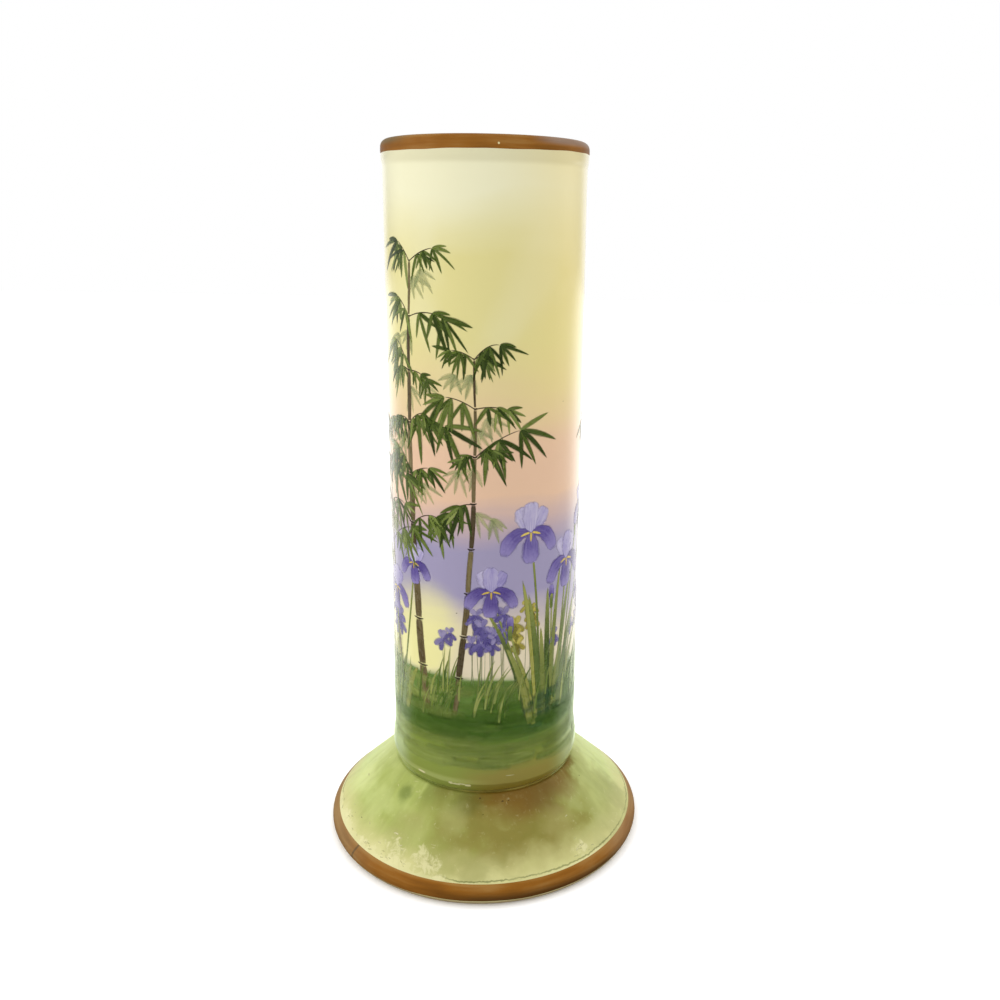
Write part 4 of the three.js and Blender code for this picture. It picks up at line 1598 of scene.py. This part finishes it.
class BUDVASE_OT_bands(Step, bpy.types.Operator):
    """Lay the fired brown bands on the lip and on the foot's edge"""

    bl_idname = "budvase.bands"
    bl_label = "Bands"

    def build(self, sizes, colours):
        self.lay_rim(sizes, colours)
        self.lay_edge(sizes, colours)

    def lay_rim(self, sizes, colours):
        bore, proud = sizes.tube_top_radius - sizes.tube_wall, sizes.lip_radius + 0.03 * MM
        low = sizes.rim_band_bottom
        start = line((proud, low - 0.25 * MM), (proud, low + 0.5 * MM), 4)
        lip = joined(start, lip_round(sizes), (bore, sizes.height - 2.2 * MM))
        thin = (sizes.height - 0.7 * MM, sizes.height + 0.3 * MM)
        # Painted reflections on the lip at the right and at the left
        heights = (low + 0.9 * MM, low + 1.9 * MM)
        painted_reflections = (
            (*heights, 0.42, 0.8, 0.6, colours.rim_right_reflection),
            (*heights, -0.6, -1.05, 0.5, colours.rim_left_reflection),
        )
        chip = on_surface(tube_surface(sizes), RIM_PALE_SPOT[0], low / MM + RIM_PALE_SPOT[1])
        # The lip is darker at the left as a painted reflection
        enamel = band_material("rim_enamel", colours, thin, -0.12, WAXY, painted_reflections, chip=chip)
        rim = band_piece("brown_rim", sizes, lip, enamel, 0.0, 0.5 * MM)
        carried(rim, "rim_band")

    def lay_edge(self, sizes, colours):
        slope = FootSlope(sizes)
        inward = slope.at_radius(sizes.foot_radius - sizes.foot_band_reach - 0.55 * MM)
        edge = joined(foot_edge(sizes, slope), inward)
        # Painted reflections on the foot's edge at the right and at the left
        heights = (1.0 * MM, 2.0 * MM)
        painted_reflections = (
            (*heights, 0.85, 1.1, 0.3, colours.edge_right_reflection),
            (*heights, -0.6, -1.05, 0.4, colours.edge_left_reflection),
        )
        # Paler near its top where the enamel runs out and as a painted highlight, and a little lighter at the
        # left as a painted reflection
        enamel = band_material("edge_enamel", colours, (3.3 * MM, 4.0 * MM), 0.03, MATT, painted_reflections, -0.9)
        band = band_piece("brown_edge", sizes, edge, enamel, 0.5 * MM, 0.0)
        carried(band, "foot_band")


class BUDVASE_OT_ground(Step, bpy.types.Operator):
    """Brush the green ground, its grasses and the far irises"""

    bl_idname = "budvase.ground"
    bl_label = "Ground and Grass"

    def build(self, sizes, colours):
        strokes, blades, mist, stems, gold = (Strokes(seed) for seed in (11, 12, 13, 14, 15))
        ground(strokes)
        far_irises(mist, stems, gold)
        grasses(blades)
        on_tube(
            sizes,
            ("ground_strokes", strokes, "ground_paint", 0.2, 0.25, 28, THIN),
            ("far_stems", stems, "mist_stem_paint", 0.1, 0.3, 8, THIN),
            ("far_flowers", mist, "mist_paint", 0.5, 0.4, 8, THIN),
            ("yellow_flowers", gold, "gold_paint", 0.5, 0.4, 8, THIN),
            ("grass_blades", blades, "grass_paint", 0.15, 0.7),
        )


class BUDVASE_OT_foot_paint(Step, bpy.types.Operator):
    """Daub the flakes and a painted glint on the foot, the pale marks on the bead and the specks of foot and
    tube
    """

    bl_idname = "budvase.foot_paint"
    bl_label = "Wear and Specks"

    def build(self, sizes, colours):
        creams = ((0.1, (198, 196, 136)), (0.9, colours.cream))
        chip_paint = stroke_material("chip_paint", creams, softness=0.8, cover=0.75, gloss=SATIN)
        irons = ((0.0, colours.speck), (1.0, (84, 62, 36)))
        iron_paint = stroke_material("iron_paint", irons, softness=0.5, gloss=SATIN)
        foot_chips, bead_marks, foot_specks, tube_specks = (Strokes(seed) for seed in (42, 43, 44, 45))
        chips_on_foot(foot_chips)
        pale_marks_on_bead(bead_marks)
        dark_specks(foot_specks, FOOT_SPECKS)
        dark_specks(tube_specks, TUBE_SPECKS)
        on_foot(sizes, ("foot_chips", foot_chips, chip_paint, 0.4, 0.4, 6, CHIP, 0.12))
        on_tube(sizes, ("bead_chips", bead_marks, chip_paint, 0.3, 0.4, 6, CHIP, 0.12))
        on_foot(sizes, ("foot_specks", foot_specks, iron_paint, 0.4, 0.4, 6, CHIP))
        on_tube(sizes, ("tube_specks", tube_specks, iron_paint, 0.4, 0.4, 6, CHIP))


class BUDVASE_OT_bamboo(Step, bpy.types.Operator):
    """Paint the bamboo canes and their leaves"""

    bl_idname = "budvase.bamboo"
    bl_label = "Bamboo"

    def build(self, sizes, colours):
        canes, knots, twigs, leaves, far_leaves = (Strokes(seed) for seed in (21, 22, 23, 24, 25))
        bamboo(canes, knots, twigs, leaves, far_leaves)
        on_tube(
            sizes,
            ("far_leaves", far_leaves, "far_leaf_paint", 0.5, 0.8, 8, THIN),
            ("bamboo_canes", canes, "cane_paint", 0.06, 0.06, 10),
            ("bamboo_knots", knots, "knot_paint", 0.4, 0.4, 6),
            ("bamboo_twigs", twigs, "knot_paint", 0.1, 0.3),
            ("bamboo_leaves", leaves, "leaf_paint", 0.45, 0.75),
        )


class BUDVASE_OT_irises(Step, bpy.types.Operator):
    """Paint the irises"""

    bl_idname = "budvase.irises"
    bl_label = "Irises"

    def build(self, sizes, colours):
        blades, stems, standards, falls, beards = (Strokes(seed) for seed in (31, 32, 33, 34, 35))
        irises(blades, stems, standards, falls, beards)
        on_tube(
            sizes,
            ("iris_blades", blades, "blade_paint", 0.12, 0.55, 12),
            ("iris_stems", stems, "blade_paint", 0.08, 0.1, 10),
            ("iris_standards", standards, "standard_paint", 0.5, 0.36, 12, THICKNESS, 0.05),
            ("iris_falls", falls, "fall_paint", 0.55, 0.32, 12, THICKNESS, 0.05),
            ("iris_beards", beards, "beard_paint", 0.3, 0.5, 6),
        )


# The point that the lamps face, the camera's sensor in millimetres and how near it sees, in metres
VASE_MIDDLE = (0, 0, 0.07)
SENSOR_WIDTH = 36
CLIP_START = 0.01


def lamp(name, place, side, power):
    """A square soft lamp that faces the middle of the vase, too soft to show in reflections"""
    light = bpy.data.lights.new(name, "AREA")
    light.shape = "SQUARE"
    light.size = side
    light.energy = power
    holder = bpy.data.objects.new(name, light)
    holder.visible_glossy = False
    away = np.array(place) - VASE_MIDDLE
    turn = math.atan2(away[0], -away[1])
    rise = math.atan2(away[2], math.hypot(away[0], away[1]))
    holder.location = place
    holder.rotation_euler = (math.pi / 2 - rise, 0, turn)
    bpy.context.scene.collection.objects.link(holder)


class BUDVASE_OT_stage(bpy.types.Operator):
    """Set the pale floor, the plain light and the camera"""

    bl_idname = "budvase.stage"
    bl_label = "Stage"

    def execute(self, context):
        studio = context.scene.vase_studio
        self.lay_floor(studio.floor_size / 2)
        world_light(context.scene, studio.world_light)
        lamp("left_lamp", (-0.41, -0.05, 0.24), 0.5, studio.left_light)
        lamp("right_lamp", (0.4, 0.17, 0.2), 0.36, studio.right_light)
        lamp("top_lamp", (0.05, -0.12, 0.6), 0.45, studio.top_light)
        self.place_camera(context.scene, studio)
        return {"FINISHED"}

    def lay_floor(self, half):
        corners = [(-half, -half, 0), (half, -half, 0), (half, half, 0), (-half, half, 0)]
        mesh = bpy.data.meshes.new("pale_floor")
        mesh.from_pydata(corners, [], [(0, 1, 2, 3)])
        mesh.materials.append(floor_material())
        floor = bpy.data.objects.new("pale_floor", mesh)
        bpy.context.scene.collection.objects.link(floor)

    def place_camera(self, scene, studio):
        camera = bpy.data.objects.new("camera", bpy.data.cameras.new("camera"))
        camera.data.lens = studio.focal_length
        camera.data.sensor_width = SENSOR_WIDTH
        camera.data.shift_x = studio.camera_shift
        camera.data.clip_start = CLIP_START
        camera.location = studio.camera_place
        camera.rotation_mode = "XYZ"
        camera.rotation_euler = (math.pi / 2 - studio.camera_fall, 0, 0)
        camera.rotation_euler.rotate_axis("Z", studio.camera_roll)
        scene.collection.objects.link(camera)
        scene.camera = camera
        scene.view_settings.view_transform = "Standard"


def light_path(graph):
    """What kind of ray meets a surface, by name, and whether it is a reflection"""
    path = graph.add("ShaderNodeLightPath").node.outputs
    return path, graph.most(path["Is Glossy Ray"], path["Is Transmission Ray"])


# What the floor adds to reflections: nearly white far from the vase, greenish close to it
FAR_GLOW = (1, 0.99, 0.92, 1)
CLOSE_GLOW = (0.84, 0.96, 0.68, 1)


def floor_material():
    """A pale floor, a little greyer close to the foot, where a contact shadow is painted, and beyond that
    light enough to be white to the eye. In reflections it is dark in front of the vase, where the room is,
    dim at the sides and bright close by and behind."""
    material, graph = new_material("pale_floor")
    between, times = graph.between, graph.times
    path, mirrored = light_path(graph)
    parts = graph.apart(graph.here)
    away = graph.vector("LENGTH", graph.here, output=1)
    # Painted contact shadow: the floor is greyer to the eye close to the foot
    to_eye = between(away, 34 * MM, 36.5 * MM, 0.18, 0.43)
    to_eye = graph.plus(to_eye, between(away, 40 * MM, 90 * MM, 0.0, 0.12))
    whiteness = graph.scaled(path["Is Camera Ray"], to_eye, 0.9)
    diffuse = graph.add("ShaderNodeBsdfDiffuse", {"Color": whiteness})
    behind = graph.math("DIVIDE", parts["Y"], away)
    far = graph.plus(between(behind, -0.1, 0.3, 0.05, 0.35), between(behind, 0.25, 0.8, 0.0, 1.1))
    close = times(
        between(parts["Y"], -10 * MM, 15 * MM),
        between(parts["X"], -20 * MM, 20 * MM, 0.85, 0.75),
        between(away, 36 * MM, 60 * MM, 0.7, 1.15),
        between(away, 90 * MM, 150 * MM, 1.0, 0.0),
    )
    glow_colour = graph.mix(between(away, 120 * MM, 60 * MM), FAR_GLOW, CLOSE_GLOW)
    strength = graph.most(far, close)
    glow = graph.add("ShaderNodeEmission", {"Color": glow_colour, "Strength": strength})
    surface = graph.add("ShaderNodeMixShader", {0: mirrored, 1: diffuse, 2: glow})
    graph.node("ShaderNodeOutputMaterial", {0: surface})
    return material


def world_light(scene, strength):
    """A white world for the eye and for reflections behind the vase, dark in reflections in front of it, and
    at a plain level for what it lights"""
    world = bpy.data.worlds.new("studio")
    world.use_nodes = True
    world.node_tree.nodes.clear()
    graph = Graph(world.node_tree)
    path, mirrored = light_path(graph)
    eye = path["Is Camera Ray"]
    way = graph.apart(graph.add("ShaderNodeTexCoord"))["Y"]
    lit = graph.minus(1.0, graph.most(eye, mirrored))
    low, high = graph.between(way, -0.1, 0.3, 0.05, 0.25), graph.between(way, 0.65, 0.9, 0.0, 0.75)
    level = graph.scaled(mirrored, graph.plus(low, high), eye)
    level = graph.scaled(lit, strength, level)
    light = graph.add("ShaderNodeBackground", {"Color": (1, 1, 1, 1), "Strength": level})
    graph.node("ShaderNodeOutputWorld", {0: light})
    scene.world = world


class BUDVASE_PT_panel(bpy.types.Panel):
    """The steps that build the vase"""

    bl_idname = "BUDVASE_PT_panel"
    bl_label = "Bud Vase"
    bl_space_type = "VIEW_3D"
    bl_region_type = "UI"
    bl_category = "Bud Vase"

    def draw(self, context):
        for operator in OPERATORS:
            self.layout.operator(operator.bl_idname)
        for group in (context.scene.vase_sizes, context.scene.vase_colours, context.scene.vase_studio):
            box = self.layout.box()
            for key in group.__annotations__:
                box.prop(group, key, text=key.replace("_", " ").title())


OPERATORS = (
    BUDVASE_OT_tube,
    BUDVASE_OT_foot,
    BUDVASE_OT_bands,
    BUDVASE_OT_ground,
    BUDVASE_OT_foot_paint,
    BUDVASE_OT_bamboo,
    BUDVASE_OT_irises,
    BUDVASE_OT_stage,
)
CLASSES = (VaseSizes, VaseColours, StudioSettings, *OPERATORS, BUDVASE_PT_panel)


def register():
    for cls in CLASSES:
        bpy.utils.register_class(cls)
    bpy.types.Scene.vase_sizes = PointerProperty(type=VaseSizes)
    bpy.types.Scene.vase_colours = PointerProperty(type=VaseColours)
    bpy.types.Scene.vase_studio = PointerProperty(type=StudioSettings)


def unregister():
    del bpy.types.Scene.vase_studio
    del bpy.types.Scene.vase_colours
    del bpy.types.Scene.vase_sizes
    for cls in reversed(CLASSES):
        bpy.utils.unregister_class(cls)


def main():
    register()
    for operator in OPERATORS:
        group, name = operator.bl_idname.split(".")
        getattr(getattr(bpy.ops, group), name)()


if __name__ == "__main__":
    main()
